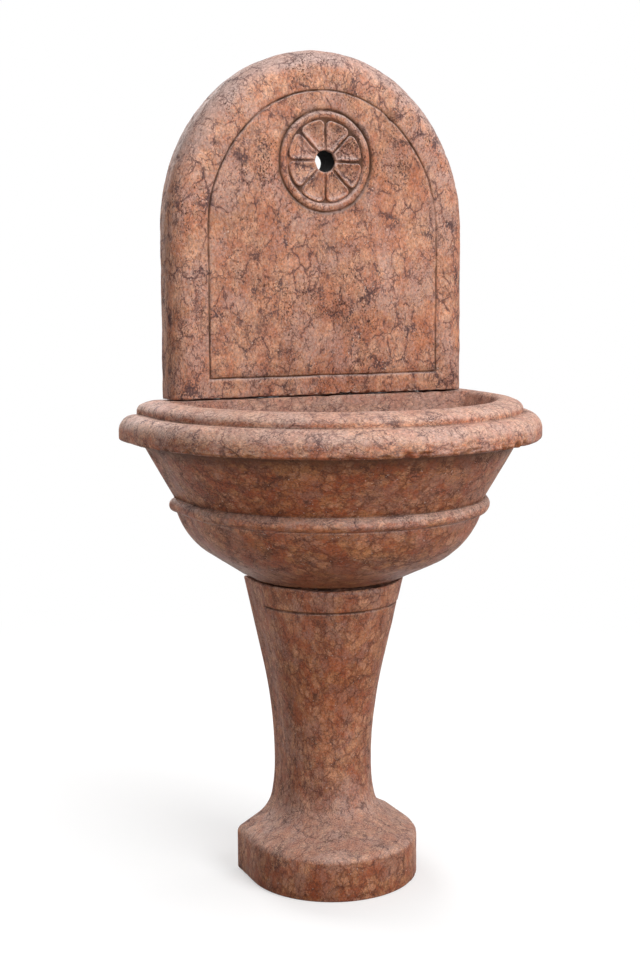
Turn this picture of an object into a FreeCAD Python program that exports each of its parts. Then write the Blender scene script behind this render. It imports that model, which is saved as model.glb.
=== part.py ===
import FreeCAD
import Part

import math
import os
from enum import IntEnum
from types import SimpleNamespace

import Sketcher

# A carved stone wall fountain that stands on the floor.
#
# Three stones make it: a half-round pedestal, a half-round basin and an arched back slab. The first two
# are profiles, turned through a half circle and run straight back to the wall. Dowels and packers join
# the stones, a brass waste drains the bowl into the wall, and a lift-out standpipe sets the water level.
#
# Millimetres, +Z up. The floor is z = 0, the wall is behind the fountain at +Y, and the viewer is at -Y.
# Each piece is drawn from the wall plane, y = 0 in its own frame, and its placement sets it back.

# Driving dimensions, by piece

DIMENSIONS = {
    # pedestal
    "pedestal_height": 558.0,
    "plinth_return": 80.0,
    "plinth_radius": 158.0,
    "plinth_wall": 71.0,
    "shoulder_round": 14.0,
    "slope_angle": 28.0,
    "column_return": 61.0,
    "cove_foot_setback": 46.0,
    "cove_foot_rise": 27.0,
    "cove_round": 48.0,
    "neck_round": 300.0,
    "waist_radius": 81.3,
    "waist_height": 200.0,
    "column_top_radius": 140.0,
    "column_straight_height": 157.0,
    "collar_line_drop": 45.0,
    "collar_line_depth": 2.0,
    "collar_line_width": 3.0,
    "chase_radius": 37.0,
    "chase_floor_clearance": 8.0,
    # basin, outside
    "bed_gap": 3.0,
    "basin_foot_margin": 2.0,
    "belly_foot_height": 42.0,
    "belly_setback": 65.0,
    "belly_round": 155.0,
    "bead_height": 138.0,
    "bead_round": 13.2,
    "bead_projection": 9.5,
    "bead_undercut": 4.5,
    "cone_run": 60.0,
    "lip_height": 257.0,
    "lip_undercut": 40.0,
    "lip_overhang": 33.5,
    "lip_step": 5.5,
    "lip_foot_round": 8.0,
    "lip_thickness": 46.0,
    "roll_height": 24.0,
    "roll_round": 13.0,
    "rim_crown": 75.0,
    "rim_width": 48.5,
    # basin, inside
    "rim_round": 10.0,
    "bowl_radius": 290.0,
    "bowl_return": 27.0,
    "bowl_taper": 91.0,
    "bowl_round": 90.0,
    "floor_thickness": 69.0,
    # back slab
    "slab_gap": 2.0,
    "slab_width": 580.0,
    "slab_height": 610.0,
    "slab_thickness": 65.0,
    "slab_crown_round": 270.0,
    "slab_haunch_round": 325.0,
    "slab_edge_round": 38.0,
    "panel_border": 66.5,
    "panel_crown": 71.5,
    "panel_foot": 36.0,
    "line_width": 4.0,
    "line_depth": 3.0,
    "rosette_drop": 195.0,
    "rosette_radius": 90.0,
    "ring_width": 17.5,
    "carving_width": 4.0,
    "carving_depth": 4.0,
    "rosette_hub": 5.0,
    "spout_radius": 18.75,
    # dowels, packers and wall ties
    "fit_clearance": 0.3,
    "dowel_radius": 8.0,
    "dowel_depth": 45.0,
    "dowel_spacing": 190.0,
    "dowel_setback": 110.0,
    "slab_dowel_radius": 7.0,
    "slab_dowel_spacing": 400.0,
    "packer_size": 30.0,
    "front_packer_spacing": 110.0,
    "front_packer_setback": 150.0,
    "back_packer_spacing": 190.0,
    "back_packer_setback": 40.0,
    "slab_packer_size": 40.0,
    "slab_packer_spacing": 220.0,
    "tie_spacing": 360.0,
    "tie_height": 430.0,
    "tie_radius": 8.5,
    "tie_length": 40.0,
    "tie_thread_radius": 5.1,
    "tie_thread_depth": 30.0,
    # waste
    "drain_margin": 40.0,
    "waste_radius": 21.0,
    "waste_wall": 3.5,
    "waste_flange_width": 15.0,
    "waste_flange_thickness": 4.0,
    "waste_hole_clearance": 2.0,
    "waste_recess_clearance": 1.0,
    "waste_tail": 50.0,
    "seal_thickness": 2.0,
    "lower_seal_width": 11.0,
    "lower_seal_thickness": 3.0,
    "backnut_width": 12.0,
    "backnut_thickness": 12.0,
    "union_seal_thickness": 3.0,
    "union_width": 12.0,
    "union_lip": 6.0,
    "union_grip": 14.0,
    "bend_collar_width": 4.0,
    "bend_collar_thickness": 4.0,
    "bend_drop": 12.0,
    "bend_round": 40.0,
    # standpipe
    "standpipe_wall": 3.2,
    "standpipe_spigot": 28.0,
    "standpipe_collar_width": 7.0,
    "standpipe_collar_thickness": 5.0,
    "overflow_drop": 45.0,
    "bell_height": 15.0,
    "bell_flare": 9.0,
    "ring_groove_depth": 2.2,
    "ring_groove_height": 2.6,
    "ring_groove_rise": 6.0,
    "o_ring_squeeze": 0.1,
}

PETAL_COUNT = 8
HEX_SIDES = 6
HALF_TURN = 180.0
QUARTER_TURN = 90.0
FULL_TURN = 360.0
BORE_OVERRUN = 5.0
VOLUME_STEP = 1.0
SAME_PLACE = 1e-6

UP = FreeCAD.Vector(0, 0, 1)
ORIGIN = (-1, 1)


class Spot(IntEnum):
    """The named points of a line or an arc, in a sketch's own numbering."""

    START = 1
    END = 2
    CENTRE = 3


class Axis(IntEnum):
    """The axes of a sketch, in its own numbering."""

    ACROSS = -1
    UPWARD = -2


class Size:
    """A length that keeps its number together with the sheet expression that it comes from."""

    def __init__(self, value, text):
        self.value = value
        self.text = text

    def __add__(self, other):
        other = as_size(other)
        return Size(self.value + other.value, f"({self.text} + {other.text})")

    def __sub__(self, other):
        other = as_size(other)
        return Size(self.value - other.value, f"({self.text} - {other.text})")

    def __mul__(self, factor):
        return Size(self.value * factor, f"({self.text} * {factor})")

    def __truediv__(self, factor):
        return Size(self.value / factor, f"({self.text} / {factor})")

    def __neg__(self):
        return Size(-self.value, f"(0 - {self.text})")


def as_size(amount):
    """A plain number as a Size."""
    if isinstance(amount, Size):
        return amount
    return Size(amount, str(amount))


document = FreeCAD.newDocument("floor_fountain")
sheet = document.addObject("Spreadsheet::Sheet", "Dims")
for row, (alias, amount) in enumerate(DIMENSIONS.items(), start=1):
    sheet.set(f"A{row}", alias)
    sheet.set(f"B{row}", str(amount))
    sheet.setAlias(f"B{row}", alias)
document.recompute()

dims = SimpleNamespace(**{alias: Size(amount, f"Dims.{alias}") for alias, amount in DIMENSIONS.items()})
ZERO = as_size(0.0)
nodes = []

# Places that several pieces share

roll_radius = dims.bowl_radius + dims.rim_width
lip_radius = roll_radius + dims.lip_overhang
cone_top_radius = lip_radius - dims.lip_undercut
cone_foot_radius = cone_top_radius - dims.cone_run
belly_foot_radius = cone_foot_radius - dims.bead_undercut - dims.belly_setback
basin_return = dims.slab_thickness + dims.bowl_return
basin_height = dims.lip_height + dims.lip_thickness + dims.roll_height
wall_y = (basin_return + lip_radius) / 2
basin_z = dims.pedestal_height + dims.bed_gap
slab_z = basin_z + basin_height + dims.slab_gap
drain_setback = dims.slab_thickness + dims.drain_margin
drain_y = wall_y - drain_setback
waste_bore = dims.waste_radius - dims.waste_wall
waste_flange_radius = dims.waste_radius + dims.waste_flange_width
waste_outside = dims.waste_radius + dims.fit_clearance
bend_collar_radius = dims.waste_radius + dims.bend_collar_width
bend_top = -dims.waste_tail - dims.union_seal_thickness
bend_axis_z = bend_top - dims.bend_drop - dims.bend_round
chase_depth = dims.waste_radius + dims.chase_floor_clearance - bend_axis_z - dims.bed_gap
collar_line_height = dims.pedestal_height - dims.collar_line_drop
rosette_z = dims.slab_height - dims.rosette_drop
ring_inner_radius = dims.rosette_radius - dims.ring_width
petal_radius = ring_inner_radius - dims.carving_width

# Drawing helpers


def bind(item, path, amount):
    """Ties one property of an object to the sheet."""
    item.setExpression(path, amount.text)


def place(item, x=ZERO, y=ZERO, z=ZERO, rotation=None):
    """Places an object, with its position tied to the sheet."""
    item.Placement = FreeCAD.Placement(
        FreeCAD.Vector(x.value, y.value, z.value), rotation or FreeCAD.Rotation()
    )
    bind(item, "Placement.Base.x", x)
    bind(item, "Placement.Base.y", y)
    bind(item, "Placement.Base.z", z)


def new_body(label, y=wall_y, z=ZERO):
    """An empty body that becomes one piece of the fountain."""
    body = document.addObject("PartDesign::Body", label)
    body.Label = label
    place(body, y=y, z=z)
    nodes.append(body)
    return body


def origin_plane(body, role):
    """One of a body's own origin planes."""
    return next(plane for plane in body.Origin.OriginFeatures if plane.Role == role)


def new_sketch(body, name, role, rise=ZERO, lift=ZERO):
    """A sketch on an origin plane, moved by rise within the plane and by lift along its normal."""
    sketch = body.newObject("Sketcher::SketchObject", name)
    sketch.AttachmentSupport = [(origin_plane(body, role), "")]
    sketch.MapMode = "FlatFace"
    sketch.AttachmentOffset = FreeCAD.Placement(
        FreeCAD.Vector(0, rise.value, lift.value), FreeCAD.Rotation()
    )
    bind(sketch, "AttachmentOffset.Base.y", rise)
    bind(sketch, "AttachmentOffset.Base.z", lift)
    return sketch


def tie(sketch, kind, refs, amount):
    """A dimension of a sketch, bound to the sheet."""
    index = sketch.addConstraint(Sketcher.Constraint(kind, *refs, amount.value))
    name = f"{kind}_{index}"
    sketch.renameConstraint(index, name)
    bind(sketch, f"Constraints.{name}", amount)


def tie_coordinate(sketch, kind, axis, point, amount):
    """Ties one coordinate of a point, measured from the sketch's origin."""
    if abs(amount.value) < SAME_PLACE:
        sketch.addConstraint(Sketcher.Constraint("PointOnObject", *point, axis))
    elif amount.value > 0:
        tie(sketch, kind, (*ORIGIN, *point), amount)
    else:
        tie(sketch, kind, (*point, *ORIGIN), -amount)


def tie_x(sketch, point, amount):
    """Ties the across coordinate of a point."""
    tie_coordinate(sketch, "DistanceX", Axis.UPWARD, point, amount)


def tie_y(sketch, point, amount):
    """Ties the upward coordinate of a point."""
    tie_coordinate(sketch, "DistanceY", Axis.ACROSS, point, amount)


def circle(sketch, radius, x=ZERO, y=ZERO):
    """A circle tied in size and place."""
    centre = FreeCAD.Vector(x.value, y.value, 0)
    index = sketch.addGeometry(Part.Circle(centre, UP, radius.value), False)
    tie(sketch, "Radius", (index,), radius)
    tie_x(sketch, (index, Spot.CENTRE), x)
    tie_y(sketch, (index, Spot.CENTRE), y)


class Outline:
    """A closed chain of lines and arcs in one sketch."""

    def __init__(self, sketch, start):
        self.sketch = sketch
        self.here = start
        self.items = []

    def line(self, x, y, smooth=False):
        """A straight side from the last point."""
        side = Part.LineSegment(vector(self.here), vector((x, y)))
        index = self.sketch.addGeometry(side, False)
        return self._add(index, Spot.START, Spot.END, (x, y), smooth)

    def arc(self, centre, x, y, left_turn, smooth=False):
        """A round side about a centre, from the last point."""
        first = math.atan2(self.here[1] - centre[1], self.here[0] - centre[0])
        last = math.atan2(y - centre[1], x - centre[0])
        if not left_turn:
            first, last = last, first
        if last <= first:
            last += 2 * math.pi
        radius = math.hypot(x - centre[0], y - centre[1])
        round_side = Part.ArcOfCircle(Part.Circle(vector(centre), UP, radius), first, last)
        index = self.sketch.addGeometry(round_side, False)
        ends = (Spot.START, Spot.END) if left_turn else (Spot.END, Spot.START)
        return self._add(index, *ends, (x, y), smooth)

    def _add(self, index, first, last, point, smooth):
        self.items.append((index, first, last, smooth))
        self.here = point
        ends = {"start": (index, first), "end": (index, last)}
        return SimpleNamespace(index=index, centre=(index, Spot.CENTRE), **ends)

    def close(self):
        """Joins each side to the next, smoothly where the next side asks for it."""
        following = self.items[1:] + self.items[:1]
        for (index, _, last, _), (next_index, first, _, smooth) in zip(self.items, following):
            kind = "Tangent" if smooth else "Coincident"
            self.sketch.addConstraint(Sketcher.Constraint(kind, index, last, next_index, first))

    def level(self, *sides):
        """Keeps sides horizontal."""
        for side in sides:
            self.sketch.addConstraint(Sketcher.Constraint("Horizontal", side.index))

    def upright(self, *sides):
        """Keeps sides vertical."""
        for side in sides:
            self.sketch.addConstraint(Sketcher.Constraint("Vertical", side.index))

    def x(self, point, amount):
        tie_x(self.sketch, point, amount)

    def y(self, point, amount):
        tie_y(self.sketch, point, amount)

    def radius(self, side, amount):
        tie(self.sketch, "Radius", (side.index,), amount)

    def measure_x(self, side, low, high, height, name):
        """The across coordinate of a straight side at a height, as a size that follows the side."""
        share = (height.value - low[1]) / (high[1] - low[1])
        mark = (low[0] + share * (high[0] - low[0]), height.value)
        point = (self.sketch.addGeometry(Part.Point(vector(mark)), True), Spot.START)
        self.sketch.addConstraint(Sketcher.Constraint("PointOnObject", *point, side.index))
        self.y(point, height)
        index = self.sketch.addConstraint(Sketcher.Constraint("DistanceX", *ORIGIN, *point, mark[0]))
        self.sketch.setDriving(index, False)
        self.sketch.renameConstraint(index, name)
        return Size(mark[0], f"({self.sketch.Name}.Constraints.{name} / 1 mm)")


def vector(point):
    """A flat point as a vector."""
    return FreeCAD.Vector(point[0], point[1], 0)


def rectangle(sketch, left, right, bottom, top):
    """A rectangle whose four sides are tied to the sheet."""
    outline = Outline(sketch, (left.value, bottom.value))
    base = outline.line(right.value, bottom.value)
    side = outline.line(right.value, top.value)
    head = outline.line(left.value, top.value)
    back = outline.line(left.value, bottom.value)
    outline.close()
    outline.level(base, head)
    outline.upright(side, back)
    outline.x(base.start, left)
    outline.y(base.start, bottom)
    outline.x(side.end, right)
    outline.y(side.end, top)


def stepped_outline(sketch, points):
    """A closed outline of straight sides through tied points."""
    outline = Outline(sketch, (points[0][0].value, points[0][1].value))
    sides = [outline.line(x.value, y.value) for x, y in points[1:] + points[:1]]
    outline.close()
    for side, (x, y) in zip(sides, points):
        outline.x(side.start, x)
        outline.y(side.start, y)


def pad(body, sketch, length, reverse=False):
    """Adds a sketch's straight run."""
    feature = body.newObject("PartDesign::Pad", sketch.Name + "Pad")
    feature.Profile = sketch
    bind(feature, "Length", length)
    feature.Reversed = reverse
    document.recompute()
    return feature


def turn(body, sketch, kind, degrees, reverse=False):
    """Turns a sketch about its own upright axis, as an added or a cut form."""
    feature = body.newObject(f"PartDesign::{kind}", sketch.Name + kind)
    feature.Profile = sketch
    feature.ReferenceAxis = (sketch, ["V_Axis"])
    feature.Angle = degrees
    feature.Reversed = reverse
    document.recompute()
    return feature


def pocket(body, sketch, depth, reverse=False):
    """Cuts a sketch's straight run, and stops if it cuts nothing."""
    before = body.Shape.Volume
    feature = body.newObject("PartDesign::Pocket", sketch.Name + "Pocket")
    feature.Profile = sketch
    bind(feature, "Length", depth)
    feature.Reversed = reverse
    document.recompute()
    must_shrink(body, before, sketch.Name)
    return feature


def must_shrink(body, before, name):
    """Stops the build where a cut left the piece as it was."""
    if body.Shape.Volume > before - VOLUME_STEP:
        raise ValueError(f"{name} cuts nothing from {body.Label}")


def mirror(body, feature):
    """Repeats a feature on the other side of the middle plane."""
    mirrored = body.newObject("PartDesign::Mirrored", feature.Name + "Mirrored")
    mirrored.Originals = [feature]
    mirrored.MirrorPlane = (origin_plane(body, "YZ_Plane"), [""])
    body.Tip = mirrored
    document.recompute()


def half_round(body, sketch, straight):
    """A profile turned through a half circle and run straight back to the wall on both sides."""
    turn(body, sketch, "Revolution", HALF_TURN, reverse=True)
    mirror(body, pad(body, sketch, straight, reverse=True))


def holes(body, name, spots, radius, depth, lift=ZERO, upward=False):
    """Round blind holes in a level face."""
    sketch = new_sketch(body, name, "XY_Plane", lift=lift)
    for x, y in spots:
        circle(sketch, radius, x, y)
    pocket(body, sketch, depth, reverse=upward)


def both_sides(spacing, setback):
    """Two places, left and right of the middle, in front of the wall."""
    return [(spacing / 2, -setback), (-(spacing / 2), -setback)]


def cylinder(name, radius, length, x=ZERO, y=ZERO, z=ZERO, rotation=None):
    """A plain cylinder, as one member of a piece."""
    member = document.addObject("Part::Cylinder", name)
    bind(member, "Radius", radius)
    bind(member, "Height", length)
    place(member, x, y, z, rotation)
    return member


def cut(name, base, *tools):
    """Takes one or more members from another."""
    for number, tool in enumerate(tools, start=1):
        remainder = document.addObject("Part::Cut", f"{name}_{number}")
        remainder.Base = base
        remainder.Tool = tool
        base = remainder
    return base


def group(label, members):
    """Identical separate solids that share one node."""
    compound = document.addObject("Part::Compound", label)
    compound.Label = label
    compound.Links = members
    nodes.append(compound)


def as_node(label, item):
    """Makes a finished member a node of its own."""
    item.Label = label
    nodes.append(item)


# Pedestal


def plinth_profile(sketch):
    """Half section of the plinth: wall, rounded shoulder and a slope that ends inside the column."""
    angle = math.radians(dims.slope_angle.value)
    inward = (-math.cos(angle), math.sin(angle))
    outward = (math.sin(angle), math.cos(angle))
    plinth = dims.plinth_radius.value
    wall_top = dims.plinth_wall.value
    shoulder_centre = (plinth - dims.shoulder_round.value, wall_top)
    slope_foot = along(shoulder_centre, outward, dims.shoulder_round.value)
    slope_end = dims.waist_radius / 2
    slope_top = along(slope_foot, inward, (slope_foot[0] - slope_end.value) / math.cos(angle))

    outline = Outline(sketch, (0.0, 0.0))
    base = outline.line(plinth, 0.0)
    wall = outline.line(plinth, wall_top)
    shoulder = outline.arc(shoulder_centre, *slope_foot, left_turn=True, smooth=True)
    slope = outline.line(*slope_top, smooth=True)
    head = outline.line(0.0, slope_top[1])
    axis = outline.line(0.0, 0.0)
    outline.close()
    outline.level(base, head)
    outline.upright(wall, axis)
    outline.x(base.start, ZERO)
    outline.y(base.start, ZERO)
    outline.x(wall.start, dims.plinth_radius)
    outline.y(wall.end, dims.plinth_wall)
    outline.radius(shoulder, dims.shoulder_round)
    outline.x(slope.end, slope_end)
    slope_direction = as_size(HALF_TURN) - dims.slope_angle
    index = sketch.addConstraint(
        Sketcher.Constraint("Angle", slope.index, math.radians(slope_direction.value))
    )
    sketch.renameConstraint(index, "slope_direction")
    bind(sketch, "Constraints.slope_direction", slope_direction)


def column_profile(sketch):
    """Half section of the column, its foot sunk in the plinth's slope; gives its edge at the collar line."""
    foot = dims.plinth_radius - dims.cove_foot_setback
    foot_height = dims.plinth_wall + dims.cove_foot_rise
    cove = dims.cove_round.value
    neck = dims.neck_round.value
    waist = (dims.waist_radius.value, dims.waist_height.value)
    top = (dims.column_top_radius.value, dims.pedestal_height.value)
    neck_centre = (waist[0] + neck, waist[1])
    flare_centre, flare_top = column_flare()
    cove_centre = upper_crossing((foot.value, foot_height.value), cove, neck_centre, neck - cove)
    to_cove = unit((cove_centre[0] - neck_centre[0], cove_centre[1] - neck_centre[1]))
    cove_top = along(neck_centre, to_cove, neck)

    outline = Outline(sketch, (0.0, foot_height.value))
    base = outline.line(foot.value, foot_height.value)
    cove_side = outline.arc(cove_centre, *cove_top, left_turn=False)
    neck_side = outline.arc(neck_centre, *waist, left_turn=False, smooth=True)
    flare_side = outline.arc(flare_centre, *flare_top, left_turn=False, smooth=True)
    column = outline.line(*top, smooth=True)
    head = outline.line(0.0, top[1])
    axis = outline.line(0.0, foot_height.value)
    outline.close()
    outline.level(base, head)
    outline.upright(axis)
    outline.x(base.start, ZERO)
    outline.y(base.start, foot_height)
    outline.x(base.end, foot)
    outline.radius(cove_side, dims.cove_round)
    outline.radius(neck_side, dims.neck_round)
    outline.y(flare_side.end, dims.pedestal_height - dims.column_straight_height)
    outline.x(neck_side.end, dims.waist_radius)
    outline.y(neck_side.end, dims.waist_height)
    outline.y(neck_side.centre, dims.waist_height)
    outline.x(column.end, dims.column_top_radius)
    outline.y(column.end, dims.pedestal_height)
    return outline.measure_x(column, flare_top, top, collar_line_height, "collar_edge")


def along(point, direction, distance):
    """The point a distance away in a direction."""
    return (point[0] + direction[0] * distance, point[1] + direction[1] * distance)


def unit(direction):
    """A direction of length one."""
    length = math.hypot(*direction)
    return (direction[0] / length, direction[1] / length)


def upper_crossing(first, first_radius, second, second_radius):
    """The upper of the two points at given distances from two centres."""
    across = (second[0] - first[0], second[1] - first[1])
    apart = math.hypot(*across)
    ahead = unit(across)
    reach = (first_radius**2 - second_radius**2 + apart**2) / (2 * apart)
    aside = math.sqrt(first_radius**2 - reach**2)
    middle = along(first, ahead, reach)
    return along(middle, (-ahead[1], ahead[0]), aside)


def column_flare():
    """The centre and upper end of the round side that joins the waist to the straight upper column."""
    waist = (dims.waist_radius.value, dims.waist_height.value)
    top = (dims.column_top_radius.value, dims.pedestal_height.value)
    straight = dims.column_straight_height.value
    rise = top[1] - straight - waist[1]
    lean = 2 * math.atan((top[0] - waist[0]) / (rise + 2 * straight))
    radius = rise / math.sin(lean)
    end = (waist[0] + radius * (1 - math.cos(lean)), waist[1] + rise)
    return (waist[0] + radius, waist[1]), end


def make_pedestal():
    """The lower stone, with a rear chase for the waste and two dowel holes."""
    body = new_body("pedestal")
    plinth = new_sketch(body, "PlinthProfile", "XZ_Plane", lift=dims.plinth_return)
    plinth_profile(plinth)
    half_round(body, plinth, dims.plinth_return)
    column = new_sketch(body, "ColumnProfile", "XZ_Plane", lift=dims.column_return)
    edge = column_profile(column)
    half_round(body, column, dims.column_return)

    collar_line = new_sketch(body, "CollarLine", "XZ_Plane", lift=dims.column_return)
    stepped_outline(
        collar_line,
        [
            (edge - dims.collar_line_depth, collar_line_height),
            (edge + dims.collar_line_depth, collar_line_height - dims.collar_line_width),
            (edge + dims.collar_line_depth, collar_line_height + dims.collar_line_width),
        ],
    )
    before = body.Shape.Volume
    turn(body, collar_line, "Groove", HALF_TURN, reverse=True)
    must_shrink(body, before, "CollarLine")

    chase = new_sketch(body, "WasteChase", "XY_Plane", lift=dims.pedestal_height)
    half_round_plan(chase, dims.chase_radius, drain_setback)
    pocket(body, chase, chase_depth)

    holes(
        body,
        "PedestalDowelHoles",
        both_sides(dims.dowel_spacing, dims.dowel_setback),
        dims.dowel_radius + dims.fit_clearance,
        dims.dowel_depth,
        lift=dims.pedestal_height,
    )


# Basin


def basin_profile(sketch):
    """Half section of the outside above the foot: belly, bead, flared side, lip and roll."""
    belly_top = cone_foot_radius - dims.bead_undercut
    bead_centre = cone_foot_radius + dims.bead_projection - dims.bead_round
    lip_top = dims.lip_height + dims.lip_thickness
    lip_round = dims.lip_overhang - dims.lip_step
    crest = dims.bowl_radius + dims.rim_round

    belly_foot = (belly_foot_radius.value, dims.belly_foot_height.value)
    bead = (bead_centre.value, dims.bead_height.value)
    bead_round = dims.bead_round.value
    bead_foot = (
        belly_top.value,
        bead[1] - math.sqrt(bead_round**2 - (belly_top.value - bead[0]) ** 2),
    )
    bead_head = (
        cone_foot_radius.value,
        bead[1] + math.sqrt(bead_round**2 - (cone_foot_radius.value - bead[0]) ** 2),
    )
    belly_round = dims.belly_round.value
    belly_centre = upper_crossing(belly_foot, belly_round, bead_foot, belly_round)
    lip = lip_radius.value
    lip_low = dims.lip_height.value
    lip_foot = dims.lip_foot_round.value
    lip_head = lip_round.value
    rim = basin_height.value
    roll = roll_radius.value
    roll_round = dims.roll_round.value
    crown = dims.rim_crown.value
    crown_centre = (crest.value, rim - crown)
    roll_inset = roll - roll_round - crest.value
    roll_centre = (roll - roll_round, crown_centre[1] + math.sqrt((crown - roll_round) ** 2 - roll_inset**2))
    to_roll = unit((roll_centre[0] - crown_centre[0], roll_centre[1] - crown_centre[1]))
    crown_edge = along(crown_centre, to_roll, crown)

    outline = Outline(sketch, (0.0, belly_foot[1]))
    base = outline.line(*belly_foot)
    belly = outline.arc(belly_centre, *bead_foot, left_turn=True)
    bead_side = outline.arc(bead, *bead_head, left_turn=True)
    cone = outline.line(cone_top_radius.value, lip_low)
    soffit = outline.line(lip - lip_foot, lip_low)
    lip_lower = outline.arc((lip - lip_foot, lip_low + lip_foot), lip, lip_low + lip_foot, True, smooth=True)
    lip_face = outline.line(lip, lip_top.value - lip_head, smooth=True)
    lip_upper = outline.arc(
        (lip - lip_head, lip_top.value - lip_head), lip - lip_head, lip_top.value, True, smooth=True
    )
    step = outline.line(roll, lip_top.value, smooth=True)
    roll_side = outline.line(roll, roll_centre[1])
    roll_corner = outline.arc(roll_centre, *crown_edge, left_turn=True, smooth=True)
    crown_side = outline.arc(crown_centre, crest.value, rim, left_turn=True, smooth=True)
    head = outline.line(0.0, rim, smooth=True)
    axis = outline.line(0.0, belly_foot[1])
    outline.close()
    outline.level(base, soffit, step, head)
    outline.upright(lip_face, roll_side, axis)
    outline.x(base.start, ZERO)
    outline.y(base.start, dims.belly_foot_height)
    outline.x(base.end, belly_foot_radius)
    outline.radius(belly, dims.belly_round)
    outline.x(bead_side.start, belly_top)
    outline.x(bead_side.centre, bead_centre)
    outline.y(bead_side.centre, dims.bead_height)
    outline.radius(bead_side, dims.bead_round)
    outline.x(bead_side.end, cone_foot_radius)
    outline.x(cone.end, cone_top_radius)
    outline.y(cone.end, dims.lip_height)
    outline.radius(lip_lower, dims.lip_foot_round)
    outline.x(lip_face.start, lip_radius)
    outline.radius(lip_upper, lip_round)
    outline.y(step.end, lip_top)
    outline.x(step.end, roll_radius)
    outline.radius(roll_corner, dims.roll_round)
    outline.radius(crown_side, dims.rim_crown)
    outline.x(crown_side.end, crest)
    outline.y(head.end, basin_height)


def half_round_plan(sketch, radius, straight):
    """A plan with a flat back, straight sides and a half-round front."""
    reach = radius.value
    run = straight.value
    outline = Outline(sketch, (-reach, 0.0))
    left = outline.line(-reach, -run)
    front = outline.arc((0.0, -run), reach, -run, left_turn=True, smooth=True)
    right = outline.line(reach, 0.0, smooth=True)
    back = outline.line(-reach, 0.0)
    outline.close()
    outline.upright(left, right)
    outline.level(back)
    outline.x(left.start, -radius)
    outline.y(left.start, ZERO)
    outline.x(right.end, radius)
    outline.y(front.centre, -straight)


def corner_round(before, corner, after, radius):
    """The ends and centre of an arc that rounds a corner between two straight sides."""
    back = unit((before[0] - corner[0], before[1] - corner[1]))
    ahead = unit((after[0] - corner[0], after[1] - corner[1]))
    half_angle = math.acos(back[0] * ahead[0] + back[1] * ahead[1]) / 2
    reach = radius / math.tan(half_angle)
    middle = unit((back[0] + ahead[0], back[1] + ahead[1]))
    centre = along(corner, middle, radius / math.sin(half_angle))
    return along(corner, back, reach), along(corner, ahead, reach), centre


def bowl_profile(sketch):
    """Half section of the hollow: flat floor, rounded corner, leaning side and rounded rim."""
    floor = dims.floor_thickness
    floor_corner = dims.bowl_radius - dims.bowl_taper
    rim_start = basin_height - dims.rim_round
    rim_edge = dims.bowl_radius + dims.rim_round
    clear_top = basin_height + BORE_OVERRUN
    corner = (floor_corner.value, floor.value)
    side_top = (dims.bowl_radius.value, rim_start.value)
    round_start, round_end, round_centre = corner_round(
        (0.0, floor.value), corner, side_top, dims.bowl_round.value
    )

    outline = Outline(sketch, (0.0, floor.value))
    base = outline.line(*round_start)
    rounding = outline.arc(round_centre, *round_end, left_turn=True, smooth=True)
    side = outline.line(*side_top, smooth=True)
    edge = outline.arc((rim_edge.value, rim_start.value), rim_edge.value, basin_height.value, False)
    lead = outline.line(rim_edge.value, clear_top.value)
    head = outline.line(0.0, clear_top.value)
    axis = outline.line(0.0, floor.value)
    outline.close()
    outline.level(base, head)
    outline.upright(lead, axis)
    outline.x(base.start, ZERO)
    outline.y(base.start, floor)
    outline.radius(rounding, dims.bowl_round)
    guide = sketch.addGeometry(Part.Point(vector(corner)), True)
    tie_x(sketch, (guide, Spot.START), floor_corner)
    tie_y(sketch, (guide, Spot.START), floor)
    sketch.addConstraint(Sketcher.Constraint("PointOnObject", guide, Spot.START, side.index))
    outline.x(side.end, dims.bowl_radius)
    outline.y(side.end, rim_start)
    outline.x(edge.end, rim_edge)
    outline.y(edge.end, basin_height)
    outline.radius(edge, dims.rim_round)
    outline.y(lead.end, clear_top)


def make_basin():
    """The middle stone: a half-round bowl with a drain hole and the dowel holes of both joints."""
    body = new_body("basin", z=basin_z)
    profile = new_sketch(body, "BasinProfile", "XZ_Plane", lift=basin_return)
    basin_profile(profile)
    half_round(body, profile, basin_return)

    foot = new_sketch(body, "BasinFoot", "XY_Plane")
    half_round_plan(foot, dims.column_top_radius + dims.basin_foot_margin, dims.column_return)
    belly_foot = new_sketch(body, "BellyFoot", "XY_Plane", lift=dims.belly_foot_height)
    half_round_plan(belly_foot, belly_foot_radius, basin_return)
    document.recompute()
    underside = body.newObject("PartDesign::AdditiveLoft", "BasinUnderside")
    underside.Profile = foot
    underside.Sections = [belly_foot]
    underside.Ruled = True
    document.recompute()

    hollow = new_sketch(body, "BowlProfile", "XZ_Plane", lift=basin_return)
    bowl_profile(hollow)
    before = body.Shape.Volume
    turn(body, hollow, "Groove", HALF_TURN, reverse=True)
    must_shrink(body, before, "BowlProfile")
    mirror(body, pocket(body, hollow, dims.bowl_return))

    drain = [(ZERO, -drain_setback)]
    hole_radius = dims.waste_radius + dims.waste_hole_clearance
    recess_radius = waste_flange_radius + dims.waste_recess_clearance
    recess_depth = dims.waste_flange_thickness + dims.seal_thickness
    holes(body, "DrainHole", drain, hole_radius, dims.floor_thickness, lift=dims.floor_thickness)
    holes(body, "FlangeRecess", drain, recess_radius, recess_depth, lift=dims.floor_thickness)
    holes(
        body,
        "BasinDowelHoles",
        both_sides(dims.dowel_spacing, dims.dowel_setback),
        dims.dowel_radius + dims.fit_clearance,
        dims.dowel_depth,
        upward=True,
    )
    holes(
        body,
        "LedgeDowelHoles",
        both_sides(dims.slab_dowel_spacing, dims.slab_thickness / 2),
        dims.slab_dowel_radius + dims.fit_clearance,
        dims.dowel_depth,
        lift=basin_height,
    )


# Back slab


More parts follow.
